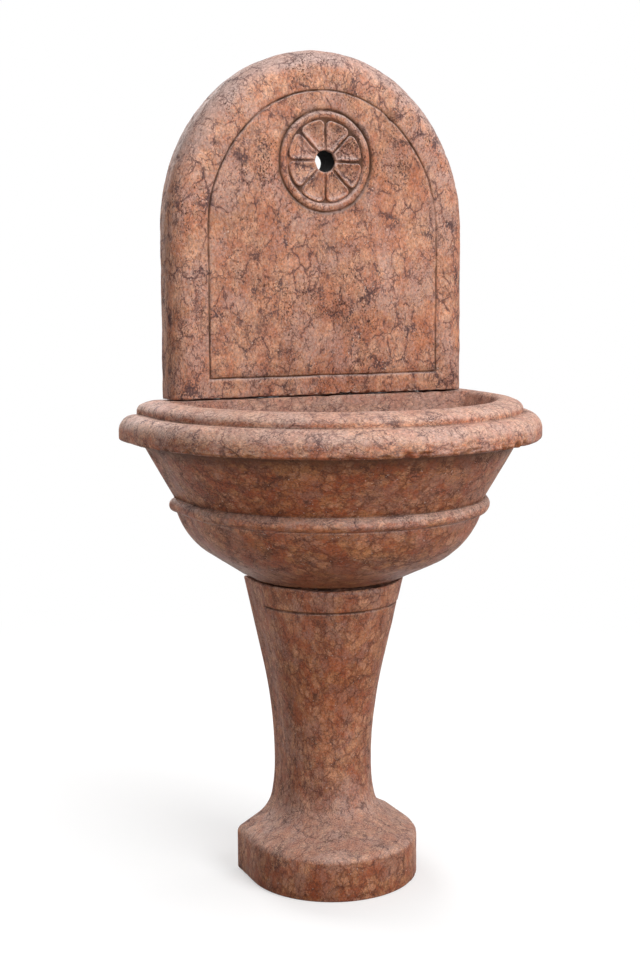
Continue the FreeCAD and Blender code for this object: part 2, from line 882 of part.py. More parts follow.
def arch(sketch, half_width, foot, top, crown_round, haunch_round):
    """An arched outline about the middle line, with a tighter crown between two wider haunches."""
    reach = half_width.value
    crown = crown_round.value
    haunch = haunch_round.value
    crown_centre = (0.0, top.value - crown)
    drop = math.sqrt((haunch - crown) ** 2 - (haunch - reach) ** 2)
    spring = crown_centre[1] - drop
    right_centre = (reach - haunch, spring)
    crown_end = along(right_centre, unit((haunch - reach, drop)), haunch)

    outline = Outline(sketch, (-reach, foot.value))
    base = outline.line(reach, foot.value)
    right = outline.line(reach, spring)
    right_haunch = outline.arc(right_centre, *crown_end, left_turn=True, smooth=True)
    crown_side = outline.arc(crown_centre, -crown_end[0], crown_end[1], left_turn=True, smooth=True)
    left_haunch = outline.arc((haunch - reach, spring), -reach, spring, left_turn=True, smooth=True)
    left = outline.line(-reach, foot.value, smooth=True)
    outline.close()
    outline.level(base)
    outline.upright(right, left)
    outline.x(base.start, -half_width)
    outline.y(base.start, foot)
    outline.x(base.end, half_width)
    outline.radius(right_haunch, haunch_round)
    outline.radius(left_haunch, haunch_round)
    outline.radius(crown_side, crown_round)
    outline.x(crown_side.centre, ZERO)
    outline.y(crown_side.centre, top - crown_round)


def front_edges(shape, front_y):
    """Names of the slab's front edges, all but the one at its foot."""
    names = []
    for number, edge in enumerate(shape.Edges, start=1):
        box = edge.BoundBox
        in_front = max(abs(box.YMin - front_y), abs(box.YMax - front_y)) < SAME_PLACE
        if in_front and box.ZMax > SAME_PLACE:
            names.append(f"Edge{number}")
    return names


def make_back_slab():
    """The upper stone: an arched slab with an incised line, a carved rosette and a spout hole."""
    body = new_body("back_slab", z=slab_z)
    half_width = dims.slab_width / 2
    outline = new_sketch(body, "SlabOutline", "XZ_Plane")
    arch(outline, half_width, ZERO, dims.slab_height, dims.slab_crown_round, dims.slab_haunch_round)
    block = pad(body, outline, dims.slab_thickness)

    rounding = body.newObject("PartDesign::Fillet", "SlabEdge")
    rounding.Base = (block, front_edges(block.Shape, -dims.slab_thickness.value))
    bind(rounding, "Radius", dims.slab_edge_round)
    document.recompute()

    panel = new_sketch(body, "PanelLine", "XZ_Plane", lift=dims.slab_thickness)
    panel_top = dims.slab_height - dims.panel_crown
    for half_line in (dims.line_width / 2, -(dims.line_width / 2)):
        inset = dims.panel_border - half_line
        arch(
            panel,
            half_width - inset,
            dims.panel_foot - half_line,
            panel_top + half_line,
            dims.slab_crown_round - inset,
            dims.slab_haunch_round - inset,
        )
    pocket(body, panel, dims.line_depth)

    for name, inner in (("OuterRing", dims.rosette_radius), ("InnerRing", petal_radius)):
        ring = new_sketch(body, name, "XZ_Plane", rise=rosette_z, lift=dims.slab_thickness)
        circle(ring, inner)
        circle(ring, inner + dims.carving_width)
        pocket(body, ring, dims.carving_depth)

    petal_line = new_sketch(body, "PetalLine", "XZ_Plane", rise=rosette_z, lift=dims.slab_thickness)
    half_carving = dims.carving_width / 2
    rectangle(
        petal_line,
        -half_carving,
        half_carving,
        dims.spout_radius + dims.rosette_hub,
        petal_radius + half_carving,
    )
    first_line = pocket(body, petal_line, dims.carving_depth)
    pattern = body.newObject("PartDesign::PolarPattern", "PetalLines")
    pattern.Originals = [first_line]
    pattern.Axis = (petal_line, ["N_Axis"])
    pattern.Angle = FULL_TURN
    pattern.Occurrences = PETAL_COUNT
    body.Tip = pattern
    document.recompute()

    spout = new_sketch(body, "SpoutHole", "XZ_Plane", rise=rosette_z, lift=dims.slab_thickness)
    circle(spout, dims.spout_radius)
    pocket(body, spout, dims.slab_thickness)

    ties = new_sketch(body, "TieHoles", "XZ_Plane", rise=dims.tie_height)
    for x in (dims.tie_spacing / 2, -(dims.tie_spacing / 2)):
        circle(ties, dims.tie_radius + dims.fit_clearance, x)
    pocket(body, ties, dims.tie_length, reverse=True)

    holes(
        body,
        "SlabDowelHoles",
        both_sides(dims.slab_dowel_spacing, dims.slab_thickness / 2),
        dims.slab_dowel_radius + dims.fit_clearance,
        dims.dowel_depth,
        upward=True,
    )


# Dowels, packers and wall ties


def make_dowels(label, radius, spacing, setback, bottom, gap):
    """Two pins that stand on the floor of the lower holes and stop short of the upper ones."""
    length = dims.dowel_depth * 2 + gap - dims.fit_clearance
    members = []
    for number, (x, y) in enumerate(both_sides(spacing, setback), start=1):
        members.append(cylinder(f"{label}_{number}", radius, length, x, wall_y + y, bottom))
    group(label, members)


def make_packers(label, spots, edge, thickness, bottom):
    """Square soft-metal pads that hold a joint open."""
    members = []
    for number, (x, y) in enumerate(spots, start=1):
        pad_box = document.addObject("Part::Box", f"{label}_{number}")
        bind(pad_box, "Length", edge)
        bind(pad_box, "Width", edge)
        bind(pad_box, "Height", thickness)
        place(pad_box, x - edge / 2, wall_y + y - edge / 2, bottom)
        members.append(pad_box)
    group(label, members)


def make_wall_ties():
    """Two threaded sockets set flush in the slab's back."""
    to_front = FreeCAD.Rotation(FreeCAD.Vector(1, 0, 0), QUARTER_TURN)
    height = slab_z + dims.tie_height
    members = []
    for number, (x, _) in enumerate(both_sides(dims.tie_spacing, ZERO), start=1):
        shell = cylinder(f"tie_shell_{number}", dims.tie_radius, dims.tie_length, x, wall_y, height, to_front)
        thread = cylinder(
            f"tie_thread_{number}", dims.tie_thread_radius, dims.tie_thread_depth, x, wall_y, height, to_front
        )
        members.append(cut(f"tie_socket_{number}", shell, thread))
    group("wall_tie_sockets", members)


# Waste and standpipe


def washer(label, outer, inner, thickness, bottom):
    """A flat ring about the drain's axis."""
    z = basin_z + bottom
    disc = cylinder(f"{label}_disc", outer, thickness, y=drain_y, z=z)
    hole = cylinder(f"{label}_hole", inner, thickness, y=drain_y, z=z)
    as_node(label, cut(label, disc, hole))


def hexagon(name, inner_radius, width, height, bottom):
    """A six-sided blank about the drain's axis."""
    blank = document.addObject("Part::Prism", name)
    blank.Polygon = HEX_SIDES
    bind(blank, "Circumradius", inner_radius + width)
    bind(blank, "Height", height)
    place(blank, y=drain_y, z=basin_z + bottom)
    return blank


def turned(label, points):
    """A piece turned about the drain's axis from a section of straight sides."""
    body = new_body(label, y=drain_y, z=basin_z)
    section = new_sketch(body, label.title().replace("_", "") + "Section", "XZ_Plane")
    stepped_outline(section, points)
    turn(body, section, "Revolution", FULL_TURN)


def make_waste_body():
    """The flanged tube through the bowl's floor."""
    floor = dims.floor_thickness
    flange_foot = floor - dims.waste_flange_thickness
    turned(
        "waste_body",
        [
            (waste_bore, -dims.waste_tail),
            (dims.waste_radius, -dims.waste_tail),
            (dims.waste_radius, flange_foot),
            (waste_flange_radius, flange_foot),
            (waste_flange_radius, floor),
            (waste_bore, floor),
        ],
    )


def make_waste_seals_and_nuts():
    """The washers, the backnut under the basin and the union nut that carries the bend."""
    seal_foot = dims.floor_thickness - dims.waste_flange_thickness - dims.seal_thickness
    washer("waste_seal", waste_flange_radius, waste_outside, dims.seal_thickness, seal_foot)
    lower_seal_radius = dims.waste_radius + dims.lower_seal_width
    lower_foot = -dims.lower_seal_thickness
    washer("waste_lower_seal", lower_seal_radius, waste_outside, dims.lower_seal_thickness, lower_foot)
    washer("union_seal", dims.waste_radius, waste_bore, dims.union_seal_thickness, bend_top)

    nut_foot = lower_foot - dims.backnut_thickness
    nut = hexagon("backnut_blank", dims.waste_radius, dims.backnut_width, dims.backnut_thickness, nut_foot)
    nut_bore = cylinder(
        "backnut_bore", waste_outside, dims.backnut_thickness, y=drain_y, z=basin_z + nut_foot
    )
    as_node("waste_backnut", cut("waste_backnut", nut, nut_bore))

    collar_foot = bend_top - dims.bend_collar_thickness
    union_foot = collar_foot - dims.union_lip
    collar_room = dims.bend_collar_thickness + dims.union_seal_thickness
    union_height = dims.union_lip + collar_room + dims.union_grip
    blank = hexagon("union_blank", dims.waste_radius, dims.union_width, union_height, union_foot)
    bore = cylinder("union_bore", waste_outside, union_height, y=drain_y, z=basin_z + union_foot)
    room = cylinder(
        "union_room",
        bend_collar_radius + dims.fit_clearance,
        collar_room,
        y=drain_y,
        z=basin_z + collar_foot,
    )
    as_node("union_nut", cut("union_nut", blank, bore, room))


def make_waste_bend():
    """A pipe that drops from the union, turns once and runs back to the wall."""
    body = new_body("waste_bend", y=drain_y, z=basin_z)
    route = new_sketch(body, "BendRoute", "YZ_Plane")
    turn_start = bend_top - dims.bend_drop
    turn_radius = dims.bend_round.value
    outline = Outline(route, (0.0, bend_top.value))
    drop = outline.line(0.0, turn_start.value)
    elbow = outline.arc((turn_radius, turn_start.value), turn_radius, bend_axis_z.value, True, smooth=True)
    run = outline.line(drain_setback.value, bend_axis_z.value, smooth=True)
    for first, second in ((drop, elbow), (elbow, run)):
        route.addConstraint(Sketcher.Constraint("Tangent", *first.end, *second.start))
    outline.upright(drop)
    outline.level(run)
    outline.x(drop.start, ZERO)
    outline.y(drop.start, bend_top)
    outline.y(drop.end, turn_start)
    outline.radius(elbow, dims.bend_round)
    outline.x(run.end, drain_setback)

    section = new_sketch(body, "BendSection", "XY_Plane", lift=bend_top)
    circle(section, dims.waste_radius)
    circle(section, waste_bore)
    document.recompute()
    pipe = body.newObject("PartDesign::AdditivePipe", "BendPipe")
    pipe.Profile = section
    pipe.Spine = (route, ["Edge1", "Edge2", "Edge3"])
    document.recompute()

    collar = new_sketch(body, "BendCollar", "XY_Plane", lift=bend_top)
    circle(collar, bend_collar_radius)
    circle(collar, waste_bore)
    pad(body, collar, dims.bend_collar_thickness, reverse=True)


def make_standpipe():
    """The lift-out overflow pipe, with a collar on the waste flange, a bell mouth and a sealing ring."""
    outer = waste_bore - dims.fit_clearance
    inner = outer - dims.standpipe_wall
    floor = dims.floor_thickness
    foot = floor - dims.standpipe_spigot
    groove_foot = foot + dims.ring_groove_rise
    groove_head = groove_foot + dims.ring_groove_height
    groove_radius = outer - dims.ring_groove_depth
    collar_radius = outer + dims.standpipe_collar_width
    collar_head = floor + dims.standpipe_collar_thickness
    mouth = basin_height - dims.overflow_drop
    bell_foot = mouth - dims.bell_height
    turned(
        "overflow_standpipe",
        [
            (inner, foot),
            (outer, foot),
            (outer, groove_foot),
            (groove_radius, groove_foot),
            (groove_radius, groove_head),
            (outer, groove_head),
            (outer, floor),
            (collar_radius, floor),
            (collar_radius, collar_head),
            (outer, collar_head),
            (outer, bell_foot),
            (outer + dims.bell_flare, mouth),
            (inner + dims.bell_flare, mouth),
            (inner, bell_foot),
        ],
    )
    ring = document.addObject("Part::Torus", "standpipe_o_ring")
    ring_outer = waste_bore - dims.o_ring_squeeze
    bind(ring, "Radius1", (groove_radius + ring_outer) / 2)
    bind(ring, "Radius2", (ring_outer - groove_radius) / 2 - dims.o_ring_squeeze)
    place(ring, y=drain_y, z=basin_z + groove_foot + dims.ring_groove_height / 2)
    as_node("standpipe_o_ring", ring)


def write_nodes():
    """Checks every object and writes each piece to its own file."""
    document.recompute()
    for item in document.Objects:
        if "Invalid" in item.State or "Error" in item.State:
            raise ValueError(f"{item.Name} failed: {item.State}")
        if item.TypeId == "Sketcher::SketchObject" and not item.FullyConstrained:
            raise ValueError(f"{item.Name} is not fully tied to the sheet")
    for node in nodes:
        if node.Shape.isNull() or not node.Shape.isValid():
            raise ValueError(f"{node.Label} has no valid shape")
    os.makedirs("parts", exist_ok=True)
    for node in nodes:
        node.Shape.exportStep(f"parts/{node.Label}.step")


make_pedestal()
make_basin()
make_back_slab()
make_dowels(
    "pedestal_dowels",
    dims.dowel_radius,
    dims.dowel_spacing,
    dims.dowel_setback,
    dims.pedestal_height - dims.dowel_depth,
    dims.bed_gap,
)
make_dowels(
    "slab_dowels",
    dims.slab_dowel_radius,
    dims.slab_dowel_spacing,
    dims.slab_thickness / 2,
    basin_z + basin_height - dims.dowel_depth,
    dims.slab_gap,
)
make_packers(
    "pedestal_packers",
    both_sides(dims.front_packer_spacing, dims.front_packer_setback)
    + both_sides(dims.back_packer_spacing, dims.back_packer_setback),
    dims.packer_size,
    dims.bed_gap,
    dims.pedestal_height,
)
make_packers(
    "slab_packers",
    both_sides(dims.slab_packer_spacing, dims.slab_thickness / 2),
    dims.slab_packer_size,
    dims.slab_gap,
    basin_z + basin_height,
)
make_wall_ties()
make_waste_body()
make_waste_seals_and_nuts()
make_waste_bend()
make_standpipe()
write_nodes()
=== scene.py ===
import math
from functools import partialmethod

import bmesh
import bpy
import numpy as np
from mathutils import Matrix, Vector


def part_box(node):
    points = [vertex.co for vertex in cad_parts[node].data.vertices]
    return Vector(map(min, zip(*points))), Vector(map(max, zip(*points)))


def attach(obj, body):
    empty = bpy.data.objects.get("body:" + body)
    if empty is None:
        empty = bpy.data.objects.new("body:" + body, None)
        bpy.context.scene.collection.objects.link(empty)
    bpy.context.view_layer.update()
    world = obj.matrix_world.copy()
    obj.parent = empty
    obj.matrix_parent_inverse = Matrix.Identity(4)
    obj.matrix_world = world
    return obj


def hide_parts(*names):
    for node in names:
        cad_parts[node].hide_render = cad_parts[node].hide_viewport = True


# A carved red-marble wall fountain. The three stones are modelled again, carved and weathered; the
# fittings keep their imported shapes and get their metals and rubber.
#
# Sections are drawn in millimetres and placed in metres. "Out" is the distance from the wall.

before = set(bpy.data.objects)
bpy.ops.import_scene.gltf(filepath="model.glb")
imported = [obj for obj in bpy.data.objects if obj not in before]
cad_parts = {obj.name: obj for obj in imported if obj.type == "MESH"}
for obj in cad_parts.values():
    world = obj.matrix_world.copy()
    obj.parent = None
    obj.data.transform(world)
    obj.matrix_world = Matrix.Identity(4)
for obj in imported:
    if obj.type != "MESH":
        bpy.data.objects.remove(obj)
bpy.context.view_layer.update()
scene = bpy.context.scene

MM = 0.001
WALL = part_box("back_slab")[1][1]
PEDESTAL_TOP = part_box("pedestal")[1][2] / MM
BASIN_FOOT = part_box("basin")[0][2] / MM
BASIN_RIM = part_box("basin")[1][2] / MM
SLAB_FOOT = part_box("back_slab")[0][2] / MM
BASIN_FLOOR = BASIN_FOOT + 69
COLUMN_RADIUS, COLUMN_AXIS = 140, 61
LIP_RADIUS, LIP_RISE, RIM_CREST, BASIN_AXIS = 372, 257, 300, 92
BELLY_RISE = 42
SLAB_HALF, SLAB_HEIGHT, SLAB_THICKNESS = 290, 610, 65
SLAB_CROWN, SLAB_HAUNCH = 270, 325
SLAB_EDGE_ROUND = 38
PANEL_BORDER, PANEL_FOOT, PANEL_DROP = 66.5, 36, 71.5
ROSETTE_RISE = 415
SPOUT_RADIUS = 18.75
TIE_ACROSS, TIE_RISE, TIE_DEPTH, TIE_RADIUS = 180, 430, 40, 8.8
DRAIN_OUT, DRAIN_RADIUS, FLANGE_RADIUS, CHASE_RADIUS = 105, 23, 37, 37
OVERCUT = 5


# Node trees, written short


class Graph:
    """Adds nodes to a tree; each call gives the new node's output."""

    def __init__(self, tree):
        self.tree = tree

    def node(self, kind, inputs=None, out=0, **settings):
        made = self.tree.nodes.new(kind)
        for name, value in settings.items():
            setattr(made, name, value)
        for key, value in (inputs or {}).items():
            self.put(made.inputs[key], value)
        return made.outputs[out]

    def put(self, socket, value):
        if isinstance(value, bpy.types.NodeSocket):
            self.tree.links.new(value, socket)
        else:
            socket.default_value = value

    def math(self, operation, *values):
        return self.node("ShaderNodeMath", dict(enumerate(values)), operation=operation)

    plus = partialmethod(math, "ADD")
    minus = partialmethod(math, "SUBTRACT")
    times = partialmethod(math, "MULTIPLY")
    times_plus = partialmethod(math, "MULTIPLY_ADD")
    higher = partialmethod(math, "MAXIMUM")

    def vector(self, operation, first, second):
        key = "Scale" if operation == "SCALE" else 1
        return self.node("ShaderNodeVectorMath", {0: first, key: second}, operation=operation)

    def join(self, x, y, z):
        return self.node("ShaderNodeCombineXYZ", {0: x, 1: y, 2: z})

    def part(self, vector, axis):
        return self.node("ShaderNodeSeparateXYZ", {0: vector}, out="XYZ".index(axis))

    def ramp(self, value, low, high, start=0, end=1):
        """A smooth step from one value to another."""
        return self.node(
            "ShaderNodeMapRange",
            {"Value": value, "From Min": low, "From Max": high, "To Min": start, "To Max": end},
            interpolation_type="SMOOTHSTEP",
        )

    def noise(self, place, scale, detail=2, roughness=0.5, out="Fac"):
        values = {"Vector": place, "Scale": scale, "Detail": detail, "Roughness": roughness}
        return self.node("ShaderNodeTexNoise", values, out=out)

    def cells(self, place, scale, feature="F1", out="Distance"):
        return self.node("ShaderNodeTexVoronoi", {"Vector": place, "Scale": scale}, out=out, feature=feature)

    def mix(self, share, first, second, blend="MIX"):
        values = {0: share, 6: first, 7: second}
        return self.node("ShaderNodeMix", values, out=2, data_type="RGBA", blend_type=blend)

    def named(self, label):
        """A number that a mesh holds for each of its points."""
        return self.node("GeometryNodeInputNamedAttribute", {"Name": label}, data_type="FLOAT")


def new_shape_tree(name, inputs):
    """The graph of an empty geometry tree, and its incoming mesh and named inputs."""
    tree = bpy.data.node_groups.new(name, "GeometryNodeTree")
    tree.interface.new_socket("Geometry", in_out="INPUT", socket_type="NodeSocketGeometry")
    for label, kind in inputs.items():
        tree.interface.new_socket(label, in_out="INPUT", socket_type="NodeSocket" + kind)
    tree.interface.new_socket("Geometry", in_out="OUTPUT", socket_type="NodeSocketGeometry")
    sockets = tree.nodes.new("NodeGroupInput").outputs
    return Graph(tree), sockets[: len(inputs) + 1]


def finish_tree(graph, geometry, material):
    """Ends a geometry tree with real faces and their material."""
    real = graph.node("GeometryNodeRealizeInstances", {0: geometry})
    dressed = graph.node("GeometryNodeSetMaterial", {"Geometry": real, "Material": material})
    graph.tree.links.new(dressed, graph.tree.nodes.new("NodeGroupOutput").inputs[0])
    return graph.tree


def grow(piece, tree, **values):
    """Runs a geometry tree on a piece and keeps the result as its plain mesh."""
    modifier = piece.modifiers.new(tree.name, "NODES")
    modifier.node_group = tree
    for item in tree.interface.items_tree:
        label = item.name.lower().replace(" ", "_")
        if item.in_out == "INPUT" and label in values:
            modifier[item.identifier] = values[label]
    settle(piece)


def settle(piece):
    """Keeps a piece's evaluated shape as its plain mesh and drops its modifiers."""
    graph = bpy.context.evaluated_depsgraph_get()
    graph.update()
    shape = piece.evaluated_get(graph)
    mesh = bpy.data.meshes.new_from_object(shape, preserve_all_data_layers=True, depsgraph=graph)
    mesh.name = piece.name
    piece.modifiers.clear()
    piece.data = mesh


def new_object(name, data):
    """An object in the scene, at the origin."""
    made = bpy.data.objects.new(name, data)
    scene.collection.objects.link(made)
    return made


def ring_faces(rings, count, closed=False):
    """Faces between rings of points; a closed grid goes on from the last ring to the first."""
    faces = []
    for k in range(rings if closed else rings - 1):
        after = (k + 1) % rings
        for i in range(count):
            j = (i + 1) % count
            faces.append((k * count + i, k * count + j, after * count + j, after * count + i))
    return faces


def new_piece(name, vertices, faces=(), **attributes):
    """A mesh piece in the row frame, with one number per vertex for each named attribute."""
    mesh = bpy.data.meshes.new(name)
    mesh.from_pydata([tuple(v) for v in vertices], [], [tuple(f) for f in faces])
    for label, values in attributes.items():
        layer = mesh.attributes.new(label, "FLOAT", "POINT")
        layer.data.foreach_set("value", np.asarray(values, dtype=np.float32))
    return new_object(name, mesh)


def close_up(piece):
    """Welds a piece's seams and poles, turns its faces outwards and shades it smooth."""
    work = bmesh.new()
    work.from_mesh(piece.data)
    bmesh.ops.remove_doubles(work, verts=work.verts, dist=0.02 * MM)
    bmesh.ops.dissolve_degenerate(work, edges=work.edges, dist=0.01 * MM)
    bmesh.ops.recalc_face_normals(work, faces=work.faces)
    work.to_mesh(piece.data)
    work.free()
    piece.data.polygons.foreach_set("use_smooth", [True] * len(piece.data.polygons))


def take_out(piece, *cutters):
    """Cuts plain forms out of a stone."""
    for cutter in cutters:
        modifier = piece.modifiers.new(cutter.name, "BOOLEAN")
        modifier.operation = "DIFFERENCE"
        modifier.solver = "EXACT"
        modifier.object = cutter
    settle(piece)
    for cutter in cutters:
        bpy.data.objects.remove(cutter)


# Finishes


def tone(red, green, blue):
    """A colour from screen values of 0 to 255."""
    def linear(value):
        share = value / 255
        return share / 12.92 if share <= 0.04045 else ((share + 0.055) / 1.055) ** 2.4

    return (linear(red), linear(green), linear(blue), 1)


def new_finish(name):
    """A material, its graph and its surface shader."""
    material = bpy.data.materials.new(name)
    material.use_nodes = True
    return material, Graph(material.node_tree), material.node_tree.nodes["Principled BSDF"]


def dress(graph, shader, colour, roughness, relief, strength, depth):
    """Wires a surface's colour, roughness and relief, which is up to a depth in millimetres."""
    bump = graph.node("ShaderNodeBump", {"Strength": strength, "Distance": depth * MM, "Height": relief})
    for label, value in (("Base Color", colour), ("Roughness", roughness), ("Normal", bump)):
        graph.put(shader.inputs[label], value)


def red_marble(name, bedding, shift, exposure, upward_bleach_and_light, crackle, mottle, dusty, knotty, dust_tone):
    """Nodular red marble: salmon nodules in a dark broken crackle, bleached where rain and sun reach.

    Bedding and shift stretch and place the pattern. Exposure is how bleached an upright face is, and the
    upward amount how much paler a face that looks up is, partly real bleaching and partly painted top
    light. Crackle, mottle, dusty and knotty are the strengths of the cracks, the red patches, the dust
    and the pale knots."""
    nodule_size, pebble_size, knot_size, spar_size = 32, 80, 56, 230
    material, graph, shader = new_finish(name)
    ramp, mix, noise, cells, vector = graph.ramp, graph.mix, graph.noise, graph.cells, graph.vector
    times, times_plus, higher = graph.times, graph.times_plus, graph.higher
    place = graph.node("ShaderNodeTexCoord", out="Object")
    place = graph.node("ShaderNodeMapping", {"Vector": place, "Location": shift, "Scale": bedding})
    half = (0.5, 0.5, 0.5)
    bend = vector("SUBTRACT", noise(place, 15, 2, out="Color"), half)
    crumple = vector("SUBTRACT", noise(place, 62, 5, 0.66, out="Color"), half)

    def warped(bend_share, crumple_share):
        bent = vector("ADD", place, vector("SCALE", bend, bend_share))
        return vector("ADD", bent, vector("SCALE", crumple, crumple_share))

    def elsewhere(x, y, z):
        return vector("ADD", place, (x, y, z))

    def attribute(label):
        return graph.node("ShaderNodeAttribute", out="Fac", attribute_name=label)

    def layer(share, below, rich_tone, pale_tone):
        """Lays a colour over another; the colour has a rich tone and a pale tone, picked by bleaching and
        painted top light.
        """
        return mix(share, below, mix(bleach_and_light, tone(*rich_tone), tone(*pale_tone)))

    def shaded(below, strength):
        return mix(1, below, graph.join(strength, strength, strength), "MULTIPLY")

    # The nodules, and the slow changes that break their pattern up
    nodules = warped(0.034, 0.02)
    patches = noise(place, 8, 4, 0.6)
    breaks = noise(place, 32, 4, 0.6)
    gaps = noise(elsewhere(3.1, 1.7, 5.3), 40, 4, 0.6)
    clusters = noise(elsewhere(0.4, 8.2, 2.6), 15, 3, 0.6)
    crumbs = noise(place, 320, 3, 0.6)
    nodule_edge = cells(nodules, nodule_size, "DISTANCE_TO_EDGE")
    nodule_reach = cells(nodules, nodule_size)
    nodule_tint = times(graph.part(cells(nodules, nodule_size, out="Color"), "X"), 0.35)
    mottled = ramp(noise(elsewhere(5.5, 0.9, 4.7), 46, 5, 0.68), 0.32, 0.68)
    nodule_tint = times_plus(mottled, 0.65, nodule_tint)

    # Broken cracks, with clay, dark specks and pale spar between the nodules
    nodule_vein = ramp(nodule_edge, 0.008, 0.05, 1, 0)
    nodule_vein = times(nodule_vein, ramp(breaks, 0.45, 0.54, 1, 0))
    pebble_vein = ramp(cells(nodules, pebble_size, "DISTANCE_TO_EDGE"), 0.012, 0.09, 0.9, 0)
    pebble_vein = times(pebble_vein, ramp(gaps, 0.43, 0.51, 1, 0))
    veins = times(higher(nodule_vein, pebble_vein), crackle)
    clay = ramp(times_plus(crumbs, 0.9, gaps), 0.97, 1.05)
    clay = times(ramp(nodule_reach, 0.5, 0.8, 0, crackle), clay)
    specks = noise(place, 360, 3, 0.65)
    specks = times_plus(graph.minus(clusters, 0.5), 0.5, specks)
    specks = times(ramp(specks, 0.6, 0.68), crackle)
    spar_pick = graph.part(cells(nodules, spar_size, out="Color"), "Z")
    spar = ramp(cells(nodules, spar_size), 0.12, 0.32, 1, 0)
    spar = times(spar, ramp(spar_pick, 0.8, 0.9))
    spar = times(spar, ramp(nodule_reach, 0.5, 0.72))

    # How bleached the stone is, with painted top light on faces that look up and the painted light and shade
    # of the rain values
    facing = graph.part(graph.node("ShaderNodeNewGeometry", out="Normal"), "Z")
    rain = attribute("rain")
    # Painted top light: the upward term makes faces that look up paler, on top of the real bleaching.
    bleach_and_light = times_plus(facing, upward_bleach_and_light, exposure)
    bleach_and_light = times_plus(graph.minus(patches, 0.5), 0.8, bleach_and_light)
    bleach_and_light = times_plus(attribute("wear"), 0.25, bleach_and_light)
    bleach_and_light = ramp(graph.plus(bleach_and_light, rain), 0, 1)

    # The ground colour, with pale knots in a red matrix and patches of rust, blush and mauve
    rich = mix(ramp(patches, 0.36, 0.62), tone(154, 97, 62), tone(174, 117, 77))
    pale = mix(ramp(breaks, 0.35, 0.65), tone(204, 162, 139), tone(203, 153, 124))
    ground = shaded(mix(bleach_and_light, rich, pale), ramp(nodule_tint, 0.1, 0.9, 0.85, 1.15))
    knot_place = warped(0.02, 0.024)
    knot_rim = cells(knot_place, knot_size, "DISTANCE_TO_EDGE")
    knot_pick = graph.part(cells(knot_place, knot_size, out="Color"), "Y")
    matrix = ramp(cells(knot_place, knot_size), 0.34, 0.74)
    matrix = times(matrix, ramp(clusters, 0.38, 0.54, 0.2, 0.9))
    knots = times(ramp(knot_rim, 0, 0.26), ramp(knot_pick, 0.4, 0.85))
    outline = times(ramp(knot_rim, 0.004, 0.06, 0.75, 0), ramp(gaps, 0.46, 0.56))
    ground = layer(times(matrix, knotty), ground, (112, 58, 38), (158, 104, 86))
    ground = layer(times(knots, knotty), ground, (188, 132, 100), (212, 156, 126))
    ground = layer(times(outline, knotty), ground, (84, 46, 32), (106, 76, 72))
    rust = ramp(noise(elsewhere(1.2, 6.1, 3.9), 10, 4, 0.6), 0.52, 0.66, 0, 0.55)
    ground = layer(rust, ground, (156, 84, 50), (190, 120, 84))
    blush = ramp(noise(elsewhere(7.7, 2.2, 0.4), 24, 5, 0.66), 0.47, 0.59, 0, mottle)
    ground = layer(blush, ground, (142, 68, 40), (174, 106, 82))
    mauve = ramp(noise(elsewhere(9.1, 4.4, 1.3), 17, 5, 0.66), 0.49, 0.61, 0, 0.55)
    mauve = higher(mauve, ramp(rain, 0.3, 0.9, 0, 0.8))
    ground = layer(mauve, ground, (142, 100, 84), (186, 154, 144))

    # Red clay along the cracks, fine grit, dust and flecks
    halo = times(ramp(nodule_edge, 0.02, 0.14, 0.55, 0), ramp(breaks, 0.44, 0.56, 1, 0))
    halo = times(halo, ramp(crumbs, 0.4, 0.58, 0.4, 1))
    ground = layer(halo, ground, (122, 62, 38), (166, 110, 93))
    grit = noise(elsewhere(2.3, 0.6, 7.1), 300, 3, 0.65)
    ground = layer(ramp(grit, 0.52, 0.64, 0, 0.6), ground, (124, 88, 78), (176, 142, 132))
    ground = layer(ramp(grit, 0.36, 0.48, 0.55, 0), ground, (142, 72, 44), (190, 114, 78))
    dust = times(ramp(facing, 0, 0.5, 0, dusty), ramp(clusters, 0.3, 0.6, 0.55, 1))
    dust = higher(dust, ramp(rain, 0.2, 0.7, 0, 0.6))
    ground = mix(dust, ground, dust_tone)
    ground = shaded(ground, ramp(noise(place, 230, 5, 0.75), 0.3, 0.7, 0.66, 1.33))

    # Cracks on top, then painted shade on faces that look down and on sheltered rows, then grime with painted
    # shade in hollows
    skin = layer(veins, ground, (80, 48, 36), (98, 72, 70))
    skin = layer(clay, skin, (72, 48, 40), (90, 72, 74))
    skin = mix(specks, skin, tone(66, 43, 37))
    skin = mix(times(spar, 0.7), skin, tone(222, 200, 186))
    # Painted shade: faces that look down, and rows with a negative rain value, are darkened towards a deep
    # brown.
    painted_underside_shade = higher(ramp(rain, -1, 0, 0.74, 0), ramp(facing, -0.95, -0.45, 0.4, 0))
    skin = mix(painted_underside_shade, skin, tone(64, 33, 16))
    # Grime is real dirt, and it is also painted shade in grooves, creases, the open joint and under the lip.
    dirt_and_shade = attribute("grime")
    grime = graph.math("MINIMUM", times(dirt_and_shade, ramp(clusters, 0.36, 0.56, 0.45, 1)), 1)
    skin = mix(grime, skin, tone(74, 53, 42))
    # Painted shade: grime above one turns near black, as in the spout's bore.
    skin = mix(ramp(dirt_and_shade, 1.1, 1.9), skin, tone(16, 13, 12))

    worn = higher(times(veins, 0.7), higher(clay, specks))
    gloss = times_plus(bleach_and_light, 0.12, ramp(worn, 0, 1, 0.46, 0.72))
    grain = times(noise(place, 420, 3, 0.6), 0.35)
    relief = times_plus(worn, -1, grain)
    dress(graph, shader, skin, times_plus(grime, 0.4, gloss), relief, strength=0.55, depth=0.8)
    shader.inputs["Specular IOR Level"].default_value = 0.1
    return material


